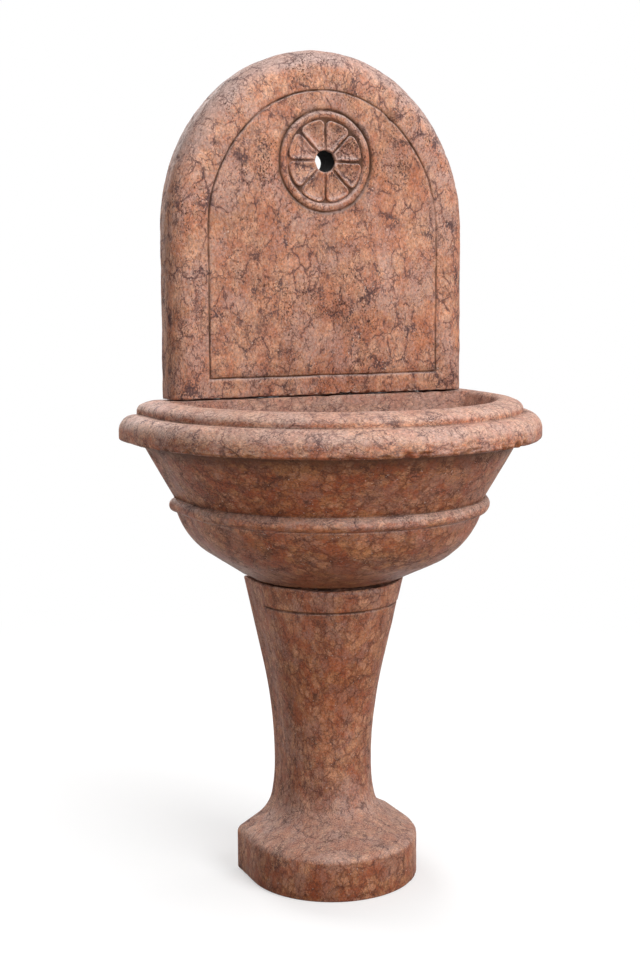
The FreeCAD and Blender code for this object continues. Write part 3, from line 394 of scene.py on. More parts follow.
def metal(name, bright, dull, roughness, patina_share, metallic=1):
    """A metal that has dulled in patches."""
    material, graph, shader = new_finish(name)
    place = graph.node("ShaderNodeTexCoord", out="Object")
    patches = graph.noise(place, 70, 5, 0.62)
    scratches = graph.noise(graph.vector("MULTIPLY", place, (900, 900, 60)), 1, 3)
    dulled = graph.ramp(patches, 0.62 - patina_share, 0.72 - patina_share * 0.6)
    rough = graph.ramp(scratches, 0.3, 0.7, roughness - 0.06, roughness + 0.1)
    rough = graph.times_plus(dulled, 0.25, rough)
    relief = graph.times_plus(patches, 0.6, graph.times(scratches, 0.4))
    dress(graph, shader, graph.mix(dulled, bright, dull), rough, relief, strength=0.25, depth=0.15)
    shader.inputs["Metallic"].default_value = metallic
    return material


def black_rubber():
    """Matt rubber with a fine mould grain and a little chalky bloom."""
    material, graph, shader = new_finish("seal_rubber")
    place = graph.node("ShaderNodeTexCoord", out="Object")
    bloom = graph.noise(place, 160, 4)
    grain = graph.noise(place, 1800, 2)
    chalky = graph.mix(graph.ramp(bloom, 0.45, 0.7), tone(34, 33, 33), tone(62, 60, 58))
    rough = graph.ramp(bloom, 0.3, 0.7, 0.72, 0.88)
    dress(graph, shader, chalky, rough, grain, strength=0.2, depth=0.05)
    return material


# Stones turned on a half-round plan


class Section:
    """Rows of a half section: reach, height, wear of the arris, incised depth, grime and rain.

    Grime is dirt and, in hollows and under the lip, painted shade. Rain above zero washes the stone pale,
    and in places paints light on stone that is in shade; below zero it is painted shade, a dark brown on
    sheltered faces."""

    def __init__(self):
        self.rows = []

    def point(self, reach, height, wear=0, line=0, grime=0, rain=0):
        self.rows.append((reach, height, wear, line, grime, rain))

    def run(self, reach, height, step=4, rain=0, **marks):
        """A straight side from the last row."""
        start = self.rows[-1]
        count = max(1, round(math.hypot(reach - start[0], height - start[1]) / step))
        for share in np.linspace(0, 1, count + 1)[1:]:
            spot = (start[0] + (reach - start[0]) * share, start[1] + (height - start[1]) * share)
            self.point(*spot, rain=start[5] + (rain - start[5]) * share, **marks)

    def bend(self, centre, radius, start, end, step=2.5, rain=0, rain_gain=0, **marks):
        """A round side between two angles in degrees; the rain value, which also paints light and shade, may
        grow along it, fast at first.
        """
        count = max(3, round(abs(math.radians(end - start)) * radius / step))
        for share in np.linspace(0, 1, count + 1):
            angle = math.radians(start + (end - start) * share)
            spot = (centre[0] + radius * math.cos(angle), centre[1] + radius * math.sin(angle))
            self.point(*spot, rain=rain + rain_gain * math.sqrt(share), **marks)


def bend_centre(first, second, radius):
    """The centre of a bend through two points, on the left of the way from the first to the second."""
    first = np.array(first)
    across = np.array(second) - first
    apart = np.linalg.norm(across)
    ahead = across / apart
    aside = math.sqrt(radius**2 - (apart / 2) ** 2)
    return first + across / 2 + np.array((-ahead[1], ahead[0])) * aside


def arc(x, z, radius, angles):
    """Points of an arc about a centre."""
    return [(x + radius * math.cos(a), z + radius * math.sin(a)) for a in angles]


def bearing(centre, point):
    """The angle of a point about a centre, in degrees."""
    return math.degrees(math.atan2(point[1] - centre[1], point[0] - centre[0]))


def pedestal_section():
    """Plinth, sloped top, cove, waisted column, incised collar line and flat head."""
    plinth, wall, shoulder, slope = 158, 71, 14, 28
    waist, waist_height, neck, cove = 81.3, 200, 300, 56
    straight = 157
    rise = PEDESTAL_TOP - straight - waist_height
    lean = 2 * math.atan((COLUMN_RADIUS - waist) / (rise + 2 * straight))
    flare = rise / math.sin(lean)
    neck_centre = (waist + neck, waist_height)
    flare_centre = (waist + flare, waist_height)

    section = Section()
    run, bend = section.run, section.bend
    section.point(0, 0)
    run(plinth - 4, 0, 14)
    # Painted shade: the plinth's lower arris, turning under towards the floor, is darkened by its negative
    # rain value.
    bend((plinth - 4, 4), 4, -90, 0, 1.5, wear=1, rain=-0.25)
    run(plinth, wall - 4, 4)
    run(plinth, wall, 2, rain=0.05)
    bend((plinth - shoulder, wall), shoulder, 0, 90 - slope, 2, wear=0.25, rain=0.15)
    foot = section.rows[-1]
    angle = math.radians(slope)
    inward = np.array((-math.cos(angle), math.sin(angle)))
    start = np.array(foot[:2]) + np.array((math.sin(angle), math.cos(angle))) * cove
    to_neck = start - np.array(neck_centre)
    along = float(to_neck @ inward)
    slide = -along + math.sqrt(along**2 - (float(to_neck @ to_neck) - (neck - cove) ** 2))
    cove_centre = start + inward * slide
    run(foot[0] + inward[0] * slide, foot[1] + inward[1] * slide, 4)
    bend(cove_centre, cove, -90 - slope, bearing(neck_centre, cove_centre), 3)
    bend(neck_centre, neck, bearing(neck_centre, cove_centre), -180, 4)
    bend(flare_centre, flare, 180, 180 - math.degrees(lean), 4)
    edge = 3
    # Painted light: the upper column lies in the basin's shade and is made paler by its rain value.
    for drop, step in ((52, 4), (38, 0.8), (edge, 3)):
        run(COLUMN_RADIUS - drop * math.tan(lean), PEDESTAL_TOP - drop, step, rain=0.2)
    top = section.rows[-1][0]
    bend((top - edge, PEDESTAL_TOP - edge), edge, 0, 90, 1, wear=0.4)
    # Painted shade: the flat head inside the open joint under the basin is darkened by its grime value.
    run(top - 24, PEDESTAL_TOP, 4, grime=0.9)
    run(0, PEDESTAL_TOP, 14, grime=0.9)
    return section


def collar_line(rows):
    """Cuts the incised line into the column's rows, with a band above it that stands a little proud."""
    height = PEDESTAL_TOP - 45
    for row in rows:
        if row[1] > height - 10 and row[0] > 100:
            away = row[1] - height
            row[3] = 3.2 * math.exp(-((away / 1.8) ** 2)) - 0.9 / (1 + math.exp(-away / 1.2))
            # The incised line's grime is dirt and painted shade in the groove.
            row[4] = max(row[4], 0.95 * math.exp(-((away / 1.8) ** 2)))


def basin_outside():
    """Foot, belly, bead, flared side, heavy lip and crowned rim."""
    belly_foot, belly_round = (202.5, BASIN_FOOT + BELLY_RISE), 155
    bead, bead_round = (268.3, BASIN_FOOT + 138), 13.2
    bead_low = (267.5, bead[1] - bead_round)
    cone_foot, cone_top = 272, 332
    lip, lip_low, lip_foot, lip_head = LIP_RADIUS, BASIN_FOOT + LIP_RISE, 7, 28
    lip_top = lip_low + 46
    roll, roll_round, crown, crest = 338.5, 13, 75, RIM_CREST
    belly_centre = bend_centre(belly_foot, bead_low, belly_round)
    bead_head = bead[1] + math.sqrt(bead_round**2 - (cone_foot - bead[0]) ** 2)
    roll_inset = roll - roll_round - crest
    roll_rise = math.sqrt((crown - roll_round) ** 2 - roll_inset**2)
    roll_centre = (roll - roll_round, BASIN_RIM - crown + roll_rise)
    crown_lean = math.degrees(math.asin(roll_inset / (crown - roll_round)))

    section = Section()
    run, bend = section.run, section.bend
    section.point(0, BASIN_FOOT)
    run(138, BASIN_FOOT, 16)
    # Painted shade: the foot and the lower belly, which face down, are darkened by negative rain values,
    # which fade up the belly.
    bend((138, BASIN_FOOT + 4), 4, -90, -40, 0.8, wear=0.5, rain=-0.8)
    run(*belly_foot, 4, rain=-0.5)
    belly_turn = bearing(belly_centre, belly_foot), bearing(belly_centre, bead_low)
    bend(belly_centre, belly_round, *belly_turn, 4, rain=-0.5, rain_gain=0.7)
    # The creases beside the bead hold grime, which is dirt and painted shade; the bead itself is made paler
    # by its rain value, partly as painted light on its crest.
    section.point(bead_low[0] - 0.8, bead_low[1] + 0.4, grime=0.9)
    bend(bead, bead_round, -72, bearing(bead, (cone_foot, bead_head)), 2, wear=0.12, rain=0.18)
    section.rows[-1] = (cone_foot, bead_head, 0, 0, 0.9, 0)
    run(cone_foot + 0.6, bead_head + 2.4, 1.2, grime=0.4)
    run(cone_top - 20, lip_low - 36, 4)
    # Painted shade: the top of the cone under the lip and the lip's underside are darkened by grime and by
    # negative rain values.
    for share in (0.2, 0.4, 0.6, 0.8):
        spot = (cone_top - 20 + 18 * share, lip_low - 36 + 32 * share)
        run(*spot, 4, grime=0.2 * share, rain=-0.9 * share)
    run(cone_top + 1.5, lip_low - 0.5, 2, grime=0.35, rain=-1)
    run(lip - lip_foot, lip_low, 4, grime=0.3, rain=-0.6)
    bend((lip - lip_foot, lip_low + lip_foot), lip_foot, -90, 0, 1.8, wear=1)
    run(lip, lip_top - lip_head, 3, wear=0.15)
    bend((lip - lip_head, lip_top - lip_head), lip_head, 0, 88, 3, wear=0.1)
    run(roll + 1, lip_top, 2, grime=0.35)
    run(roll, lip_top + 1.2, 1, grime=0.55)
    run(roll, roll_centre[1], 2.5)
    bend(roll_centre, roll_round, 0, 90 - crown_lean, 1.8, wear=0.25)
    bend((crest, BASIN_RIM - crown), crown, 90 - crown_lean, 90, 3, wear=0.1)
    return section


def basin_inside():
    """Rounded inner edge of the rim, leaning side, rounded corner and flat floor."""
    rim_round, corner, corner_round = 10, 199, 90
    side_top = (RIM_CREST - rim_round, BASIN_RIM - rim_round)
    side_angle = bearing((corner, BASIN_FLOOR), side_top)
    reach = corner_round * math.tan(math.radians(side_angle / 2))
    section = Section()
    run, bend = section.run, section.bend
    rim_centre = (RIM_CREST, BASIN_RIM - rim_round)
    # The bowl's inside is made paler by its rain values, partly washed stone and partly painted light
    # standing in for light bounced off the bowl.
    bend(rim_centre, rim_round, 94, 90 + side_angle - 4, 1.8, wear=0.2, rain=0.42)
    lean = math.radians(side_angle)
    run(corner + reach * math.cos(lean), BASIN_FLOOR + reach * math.sin(lean), 6, rain=0.8)
    corner_centre = (corner - reach, BASIN_FLOOR + corner_round)
    bend(corner_centre, corner_round, side_angle - 90, -90, 5, rain=0.6)
    run(0, BASIN_FLOOR, 10)
    return section


def turned_stone_tree():
    """Sweeps section rows round a plan with a flat back, straight sides and a half-round front."""
    steps = dict.fromkeys(("Side Steps", "Round Steps", "Back Steps"), "Int")
    inputs = {"Wall": "Float"} | steps | {"Finish": "Material"}
    graph, sockets = new_shape_tree("turned_stone", inputs)
    rows_in, wall, side_steps, round_steps, back_steps, finish = sockets
    plus, minus, times, times_plus = graph.plus, graph.minus, graph.times, graph.times_plus
    row_count = graph.node("GeometryNodeAttributeDomainSize", {0: rows_in}, out="Point Count")
    column_count = plus(times_plus(side_steps, 2, round_steps), back_steps)
    size = {"Size X": 1, "Size Y": 1, "Vertices X": plus(column_count, 1), "Vertices Y": row_count}
    grid = graph.node("GeometryNodeMeshGrid", size)
    spot = graph.vector("ADD", graph.node("GeometryNodeInputPosition"), (0.5, 0.5, 0))
    column = graph.math("ROUND", times(graph.part(spot, "X"), column_count))
    last_row = minus(row_count, 1)
    row = graph.math("ROUND", times(graph.part(spot, "Y"), last_row))

    def read(kind, value):
        where = {"Geometry": rows_in, "Value": value, "Index": row}
        return graph.node("GeometryNodeSampleIndex", where, data_type=kind)

    def progress(before, steps):
        share = graph.math("DIVIDE", minus(column, before), steps)
        return graph.math("MINIMUM", graph.higher(share, 0), 1)

    section = read("FLOAT_VECTOR", graph.node("GeometryNodeInputPosition"))
    reach, axis, height = (graph.part(section, letter) for letter in "XYZ")
    back, wear, line, grime, rain = (
        read("FLOAT", graph.named(label)) for label in ("back", "wear", "line", "grime", "rain")
    )
    left = progress(0, side_steps)
    front = progress(side_steps, round_steps)
    right_start = plus(side_steps, round_steps)
    right = progress(right_start, side_steps)
    behind = progress(plus(right_start, side_steps), back_steps)

    angle = times(front, math.pi)
    on_front = times(graph.ramp(front, 0, 0.06), graph.ramp(front, 0.94, 1, 1, 0))
    carved = times_plus(times(line, on_front), -1, reach)
    across = times(graph.math("COSINE", angle), times(carved, -1))
    across = times_plus(times(behind, reach), -2, across)
    side = times(minus(axis, back), minus(left, right))
    out = plus(back, times_plus(graph.math("SINE", angle), carved, side))
    free = times(graph.ramp(out, 0, 0.01), graph.ramp(height, 0, 0.006))
    incised = graph.math("GREATER_THAN", graph.math("ABSOLUTE", line), 0.05 * MM)
    plain = times(incised, minus(on_front, 1))
    grime = times(grime, plus(plain, 1))
    grime = times(grime, graph.ramp(out, 0, 0.004))
    noted = grid
    for label, value in (("wear", wear), ("free", free), ("grime", grime), ("rain", rain)):
        note = {"Geometry": noted, "Name": label, "Value": value}
        noted = graph.node("GeometryNodeStoreNamedAttribute", note, data_type="FLOAT", domain="POINT")
    position = graph.join(across, minus(wall, out), height)
    shaped = graph.node("GeometryNodeSetPosition", {"Geometry": noted, "Position": position})
    return finish_tree(graph, shaped, finish)


def weathered_tree():
    """Gives a stone the waviness of hand dressing and knocks chips out of its worn arrises."""
    inputs = dict.fromkeys(("Wave", "Ripple", "Wander", "Chip", "Seed"), "Float") | {"Finish": "Material"}
    graph, (stone, wave, ripple, wander, chip, seed, finish) = new_shape_tree("weathered", inputs)
    place = graph.vector("ADD", graph.node("GeometryNodeInputPosition"), graph.join(seed, seed, seed))
    swell = graph.times(graph.minus(graph.noise(place, 8, 2), 0.5), wave)
    grain = graph.times(graph.minus(graph.noise(place, 42, 3), 0.5), ripple)
    knocks = graph.ramp(graph.noise(place, 34, 2, 0.6), 0.56, 0.66)
    nicks = graph.ramp(graph.noise(place, 110, 1), 0.58, 0.7, 0, 0.45)
    chips = graph.times(graph.higher(knocks, nicks), graph.times(graph.named("wear"), chip))
    lift = graph.times(graph.minus(graph.plus(swell, grain), chips), graph.named("free"))
    push = graph.vector("SCALE", graph.node("GeometryNodeInputNormal"), lift)
    drift = graph.vector("SUBTRACT", graph.noise(place, 24, 2, out="Color"), (0.5, 0.5, 0.5))
    drift = graph.vector("SCALE", drift, graph.times(wander, graph.named("free")))
    push = graph.vector("ADD", push, drift)
    moved = graph.node("GeometryNodeSetPosition", {"Geometry": stone, "Offset": push})
    return finish_tree(graph, moved, finish)


def drawn_in(rows, axes, back):
    """Each row's axis and back; the rows of a flat end draw in from its edge to a point inside the plan."""
    flat = [row[1] in (rows[0][1], rows[-1][1]) for row in rows]
    edges = {}
    for row, axis, level in zip(rows, axes, flat):
        if level and row[0] >= edges.get(row[1], (0, 0))[0]:
            edges[row[1]] = (row[0], axis)
    places = []
    for row, axis, level in zip(rows, axes, flat):
        edge, edge_axis = edges.get(row[1], (0, 0))
        share = row[0] / edge if level and rows[0 if row[1] == rows[0][1] else -1][0] == 0 else 1
        middle = back + (edge_axis - back) * 0.6
        places.append((axis * share + middle * (1 - share), back * share + middle * (1 - share)))
    return places


def turned_stone(name, parts, finish, **steps):
    """A stone swept from section parts, each with its axes and its flat back's distance from the wall."""
    places, extra = [], []
    for rows, axes, back in parts:
        for row, (axis, behind) in zip(rows, drawn_in(rows, axes, back)):
            reach, height, wear, line, grime, rain = row
            places.append((reach * MM, axis * MM, height * MM))
            extra.append((behind * MM, wear, line * MM, grime, rain))
    back, wear, line, grime, rain = np.array(extra).T
    stone = new_piece(name, places, back=back, wear=wear, line=line, grime=grime, rain=rain)
    grow(stone, TURNED, wall=WALL, finish=finish, **steps)
    close_up(stone)
    return stone


def weather(stone, seed, finish, wave=1.8, ripple=0.7, wander=1.5, chip=3.5):
    """Weathers a stone by its wear and free attributes; the amounts are in millimetres."""
    amounts = {"wave": wave * MM, "ripple": ripple * MM, "wander": wander * MM, "chip": chip * MM}
    grow(stone, WEATHERED, seed=seed, finish=finish, **amounts)


def chip_off(stone, spots):
    """Breaks chips off a stone; each spot has its place, its width and how deep it goes, in millimetres."""
    mesh = stone.data
    places = np.empty(len(mesh.vertices) * 3)
    normals = np.empty(len(mesh.vertices) * 3)
    mesh.vertices.foreach_get("co", places)
    mesh.vertices.foreach_get("normal", normals)
    places, normals = places.reshape(-1, 3), normals.reshape(-1, 3)
    push = np.zeros(len(places))
    for x, out, height, width, depth in spots:
        spot = np.array((x * MM, WALL - out * MM, height * MM))
        away = np.linalg.norm(places - spot, axis=1) / (width * MM)
        push += depth * MM * np.clip(1.25 - away**2, 0, 1)
    places -= normals * push[:, None]
    mesh.vertices.foreach_set("co", places.ravel())
    mesh.update()


def lip_chips():
    """Chips along the lip's lower arris: angle from the middle of the front, width and depth."""
    arris = LIP_RADIUS - 2
    chips = (
        (-64, 7, 4), (-46, 5, 3), (-21, 7, 3.5), (-12, 5, 3), (-6.5, 9, 5.5), (-2, 6, 4),
        (11, 5, 3), (24, 6, 3), (30.5, 10, 7), (34.5, 9, 6), (52, 6, 4), (71, 7, 4),
    )
    for angle, width, depth in chips:
        turn = math.radians(angle)
        across, out = arris * math.sin(turn), BASIN_AXIS + arris * math.cos(turn)
        yield across, out, BASIN_FOOT + LIP_RISE + 2, width, depth


def joint_chips():
    """The pedestal's front top edge, spalled along the open joint: deepest in the middle of the front."""
    arris, width = COLUMN_RADIUS - 1, 11
    for angle in range(-42, 49, 6):
        turn = math.radians(angle)
        depth = 3.4 * math.cos(math.radians((angle - 3) * 1.6))
        yield arris * math.sin(turn), COLUMN_AXIS + arris * math.cos(turn), PEDESTAL_TOP, width, depth


def drum(name, x, aside, low, high, radius, axis="Z"):
    """A round cutter, in millimetres: upright, aside from the wall, or along Y, aside from the floor."""
    work = bmesh.new()
    size = {"radius1": radius * MM, "radius2": radius * MM, "depth": (high - low) * MM}
    bmesh.ops.create_cone(work, cap_ends=True, segments=72, **size)
    middle = (low + high) / 2
    out, height = (middle, aside) if axis == "Y" else (aside, middle)
    turn = Matrix.Rotation(math.pi / 2 if axis == "Y" else 0, 4, "X")
    move = Matrix.Translation((x * MM, WALL - out * MM, height * MM))
    bmesh.ops.transform(work, matrix=move @ turn, verts=work.verts)
    mesh = bpy.data.meshes.new(name)
    work.to_mesh(mesh)
    work.free()
    return new_object(name, mesh)


def chase_cutter():
    """The round-nosed recess behind the column, open to the wall and the top."""
    low, high = 427, PEDESTAL_TOP + OVERCUT
    nose = arc(0, DRAIN_OUT, CHASE_RADIUS, np.linspace(0, math.pi, 37))
    plan = [(CHASE_RADIUS, -OVERCUT), *nose, (-CHASE_RADIUS, -OVERCUT)]
    count = len(plan)
    vertices = [(x * MM, WALL - out * MM, z * MM) for z in (low, high) for x, out in plan]
    faces = [tuple(range(count)), tuple(range(count, 2 * count))]
    cutter = new_piece("chase_cutter", vertices, faces + ring_faces(2, count))
    close_up(cutter)
    return cutter


def make_pedestal(finish):
    rows = [list(row) for row in pedestal_section().rows]
    collar_line(rows)
    axes = [np.interp(row[1], (83, 105, 135, 160), (80, 75, 64, COLUMN_AXIS)) for row in rows]
    steps = {"side_steps": 20, "round_steps": 160, "back_steps": 44}
    stone = turned_stone("pedestal_stone", [(rows, axes, 0)], finish, **steps)
    take_out(stone, chase_cutter())
    chip_off(stone, joint_chips())
    weather(stone, 1.3, finish)
    return stone


def make_basin(finish):
    outside = basin_outside().rows
    inside = basin_inside().rows
    belly = (BASIN_FOOT, BASIN_FOOT + BELLY_RISE)
    axes = [np.interp(row[1], belly, (COLUMN_AXIS, BASIN_AXIS)) for row in outside]
    parts = [(outside, axes, 0), (inside, [BASIN_AXIS] * len(inside), SLAB_THICKNESS)]
    stone = turned_stone("basin_stone", parts, finish, side_steps=14, round_steps=250, back_steps=56)
    recess = drum("recess_cutter", 0, DRAIN_OUT, BASIN_FLOOR - 6, BASIN_FLOOR + 4, FLANGE_RADIUS)
    hole = drum("drain_cutter", 0, DRAIN_OUT, BASIN_FOOT - OVERCUT, BASIN_FLOOR - 3, DRAIN_RADIUS)
    take_out(stone, recess, hole)
    chip_off(stone, lip_chips())
    weather(stone, 4.1, finish)
    return stone


# Back slab


def arch_line(half, foot, top, crown, haunch):
    """Points of an arched outline: level foot, upright sides, wide haunches and a tighter crown."""
    crown_centre = (0, top - crown)
    drop = math.sqrt((haunch - crown) ** 2 - (haunch - half) ** 2)
    spring = crown_centre[1] - drop
    turn = math.atan2(drop, haunch - half)
    base = [(x, foot) for x in np.linspace(-half, half, 121)[:-1]]
    right = [(half, z) for z in np.linspace(foot, spring, 81)[:-1]]
    haunch_arc = arc(half - haunch, spring, haunch, np.linspace(0, turn, 121)[:-1])
    rising = right + haunch_arc + arc(*crown_centre, crown, np.linspace(turn, math.pi / 2, 71))
    falling = [(-x, z) for x, z in reversed(rising[:-1])]
    return np.array(base + rising + falling)


def slab_outline(inset, foot_inset):
    """The slab's outline, narrowed by an inset."""
    top = SLAB_HEIGHT - inset
    return arch_line(SLAB_HALF - inset, foot_inset, top, SLAB_CROWN - inset, SLAB_HAUNCH - inset)


def panel_outline(inset):
    """The incised line's outline, widened or narrowed by an inset."""
    border, head = PANEL_BORDER + inset, SLAB_HEIGHT - PANEL_DROP - inset
    return arch_line(SLAB_HALF - border, PANEL_FOOT + inset, head, SLAB_CROWN - border, SLAB_HAUNCH - border)


def round_line(radius, like):
    """A circle about the spout, with one point towards each point of another outline."""
    away = like - np.array((0, ROSETTE_RISE))
    return np.array((0, ROSETTE_RISE)) + away / np.linalg.norm(away, axis=1)[:, None] * radius


def line_strength(points):
    """How deep and dark the incised line is: strongest at the upper left, a little weaker on the right."""
    way = np.linspace(0, 2 * math.pi, len(points))
    strength = 0.9 + 0.08 * np.sin(5 * way + 0.6) + 0.07 * np.sin(17 * way) + 0.06 * np.sin(41 * way + 2)
    across, rise = points.T
    upper_left = np.clip(-across / 220, 0, 1) * np.clip((rise - 330) / 120, 0, 1)
    right_side = np.clip((across - 150) / 70, 0, 1)
    return np.clip(strength + 0.35 * upper_left - 0.08 * right_side, 0.7, 1.25)


def slab_rings():
    """The slab's rings from its back, round its edge and over its carved face into the spout hole.

    Each ring is a line of points, its distance out from the wall, its wear and its grime, which in the
    carved hollows is painted shade. The distance and the grime may differ from point to point."""
    front, round_start = SLAB_THICKNESS, SLAB_THICKNESS - SLAB_EDGE_ROUND
    outer = slab_outline(0, 0)
    back = slab_outline(1.5, 1.5)
    rings = []
    for share in np.linspace(0, 1, 13):
        rings.append((round_line(SPOUT_RADIUS + 1, back) * (1 - share) + back * share, 0, 0, 0))
    for out in np.linspace(1.5, round_start, 7):
        rings.append((outer, out, 0, 0))
    for angle in np.radians(np.linspace(6, 90, 15)):
        inset = SLAB_EDGE_ROUND * (1 - math.cos(angle))
        out = round_start + SLAB_EDGE_ROUND * math.sin(angle)
        rings.append((slab_outline(inset, inset * 0.06), out, 0.3, 0))
    border = rings[-1][0]
    groove_edge = panel_outline(-2.6)
    for share in np.linspace(0, 1, 9)[1:]:
        rings.append((border * (1 - share) + groove_edge * share, front, 0.1 * (1 - share), 0))
    cut = line_strength(groove_edge)
    # Painted shade: the incised line's grime darkens its sloping sides, which would catch the light, along
    # with the dirt in the groove.
    groove = ((-1.6, 0.8, 0.4), (-0.6, 2.8, 0.85), (0.6, 2.8, 0.85), (1.6, 0.8, 0.4), (2.6, 0, 0))
    for inset, depth, grime in groove:
        rings.append((panel_outline(inset), front - depth * cut, 0, grime * cut))
    panel = rings[-1][0]
    field = round_line(99, panel)
    for share in np.linspace(0, 1, 27)[1:]:
        rings.append((panel * (1 - share) + field * share, front, 0, 0))
    # The carving's grime column darkens the ring's groove and the ground between the petals: painted shade in
    # these hollows, with some dirt.
    carving = (
        (94, 64.9, 0.3), (91.6, 64.4, 0.6), (89.8, 62.2, 0.9), (88.8, 61.4, 1), (87.8, 62, 0.8),
        (86.8, 63.6, 0.2), (85.2, 65, 0), (83, 65.9, 0), (80.6, 66.2, 0), (78.2, 65.8, 0),
        (76.2, 64.6, 0), (75, 63.2, 0.1), (74.2, 61.8, 0.5), (73.2, 61.2, 0.85), (71, 61, 0.9),
        (62, 61, 0.9), (52, 61.1, 0.9), (42, 61.2, 0.85), (32, 61.5, 0.7), (24, 62.2, 0.4),
        (20.6, 62.6, 0.15), (19.3, 62, 0.3), (SPOUT_RADIUS, 60.6, 1.4),
    )
    for radius, out, grime in carving:
        rings.append((round_line(radius, panel), out, 0, grime))
    # Painted shade: the spout's bore is painted near black.
    for out in np.linspace(56, 1, 10):
        rings.append((round_line(SPOUT_RADIUS, panel), out, 0, 2))
    return rings


# Knocks on the carved face: across, up from the slab's foot, width and depth.
KNOCKS = (
    (131, 495, 6.5, 4.5), (123, 502, 5, 3), (139, 487, 4.5, 2.5), (-60, 361, 3.2, 2.4),
    (58, 354, 3.6, 2.6), (-42, 346, 2.6, 2), (38, 487, 2.8, 2), (236, 37, 5, 2.6),
)


def knocked(x, rise):
    """How deep the face is knocked in at a spot."""
    total = 0
    for across, up, width, depth in KNOCKS:
        total += depth * math.exp(-((x - across) ** 2 + (rise - up) ** 2) / width**2)
    return total


def border_rain(x, rise):
    """Rain on the slab's border: none at the haunches, most round the crown."""
    most, panel_centre, panel_radius, panel_fade, haunch, climb = 0.5, 340, 205, 60, 300, 180
    away = math.hypot(x, max(rise - panel_centre, 0)) - panel_radius
    on_border, high_up = np.clip((away / panel_fade, (rise - haunch) / climb), 0, 1)
    return most * on_border * high_up


def make_slab(finish):
    """The arched slab, its ring grid closed through the spout hole."""
    rings = slab_rings()
    count = len(rings[0][0])
    vertices, wear, grime, free, rain = [], [], [], [], []
    for line, ring_out, ring_wear, ring_grime in rings:
        outs, dirts_and_shade = (np.broadcast_to(values, count) for values in (ring_out, ring_grime))
        for (x, rise), out, dirt_and_shade in zip(line, outs, dirts_and_shade):
            knock = knocked(x, rise) if out > 55 else 0
            vertices.append((x * MM, WALL - (out - knock) * MM, (SLAB_FOOT + rise) * MM))
            at_foot = rise < 3 and out > 20
            wear.append(1 if at_foot else ring_wear)
            grime.append(dirt_and_shade + knock * 0.1)
            free.append(0 if out < 1 else 1)
            rain.append(border_rain(x, rise))
    faces = ring_faces(len(rings), count, closed=True)
    stone = new_piece("back_slab_stone", vertices, faces, wear=wear, grime=grime, free=free, rain=rain)
    close_up(stone)
    tie = (SLAB_FOOT + TIE_RISE, -OVERCUT, TIE_DEPTH, TIE_RADIUS, "Y")
    take_out(stone, drum("left_tie_cutter", -TIE_ACROSS, *tie), drum("right_tie_cutter", TIE_ACROSS, *tie))
    weather(stone, 7.6, finish, wave=1.6, ripple=0.6, wander=3.4)
    return stone


def petal_outline():
    """One petal's edge about the spout: straight sides along the carved grooves and a rounded outer end."""
    groove, inner, outer, corner = 1.1, 19.8, 73.8, 10
    half = math.pi / 8
    right = np.array((math.sin(half), math.cos(half)))
    inward = np.array((-right[1], right[0]))

    def on_side(distance):
        return right * distance + inward * groove

    end_centre = on_side(outer - corner) + inward * corner
    reach = math.hypot(*end_centre)
    end_centre = end_centre + right * min(outer - corner - reach, 0)
    start = on_side(float(end_centre @ right))
    first = math.atan2(*(start - end_centre)[::-1])
    last = math.atan2(end_centre[1], end_centre[0])
    side = [on_side(d) for d in np.linspace(inner, float(end_centre @ right), 14)]
    round_end = arc(*end_centre, corner, np.linspace(first, last, 9)[1:])
    cap_start = math.atan2(round_end[-1][0], round_end[-1][1])
    cap_reach = math.hypot(*round_end[-1])
    cap = [cap_reach * np.array((math.sin(a), math.cos(a))) for a in np.linspace(cap_start, 0, 8)[1:]]
    rising = side + round_end + cap
    falling = [np.array((-x, z)) for x, z in reversed(rising[:-1])]
    return np.array(rising + falling)


def petal_piece():
    """One dished petal with a raised, rounded rim, about the spout's own centre."""
    edge = petal_outline()
    count = len(edge)
    middle = np.array((0, 47))
    step = np.roll(edge, -1, axis=0) - np.roll(edge, 1, axis=0)
    normal = np.stack((step[:, 1], -step[:, 0]), axis=1) / np.linalg.norm(step, axis=1)[:, None]
    ray = edge - middle
    reach = np.linalg.norm(ray, axis=1)
    square = np.abs((normal * ray).sum(axis=1)) / reach
    insets = (
        (0, 58.5), (0.4, 61.4), (0.9, 63.2), (1.6, 64.5), (2.7, 65),
        (4.4, 64.7), (5.9, 63.8), (7.6, 62.8), (9.6, 62.1),
    )
    vertices = []
    for inset, out in insets:
        share = np.minimum(inset / (np.maximum(square, 0.35) * reach), 0.86)
        for x, z in edge - ray * share[:, None]:
            vertices.append((x * MM, -(out - SLAB_THICKNESS) * MM, z * MM))
    for share in (0.92, 0.97):
        for x, z in edge - ray * share:
            vertices.append((x * MM, -(61.9 - SLAB_THICKNESS) * MM, z * MM))
    rings = len(insets) + 2
    faces = ring_faces(rings, count)
    faces.append(tuple(range((rings - 1) * count, rings * count)))
    faces.append(tuple(range(count)))
    # Painted shade: each petal is darker at its foot in the groove and a little in its dished middle.
    grime = np.repeat((0.7, 0.35, 0.05, 0, 0, 0, 0, 0.05, 0.12, 0.16, 0.16), count)
    wear, free = [0.4] * len(vertices), [1] * len(vertices)
    petal = new_piece("rosette_petals", vertices, faces, grime=grime, wear=wear, free=free)
    close_up(petal)
    return petal


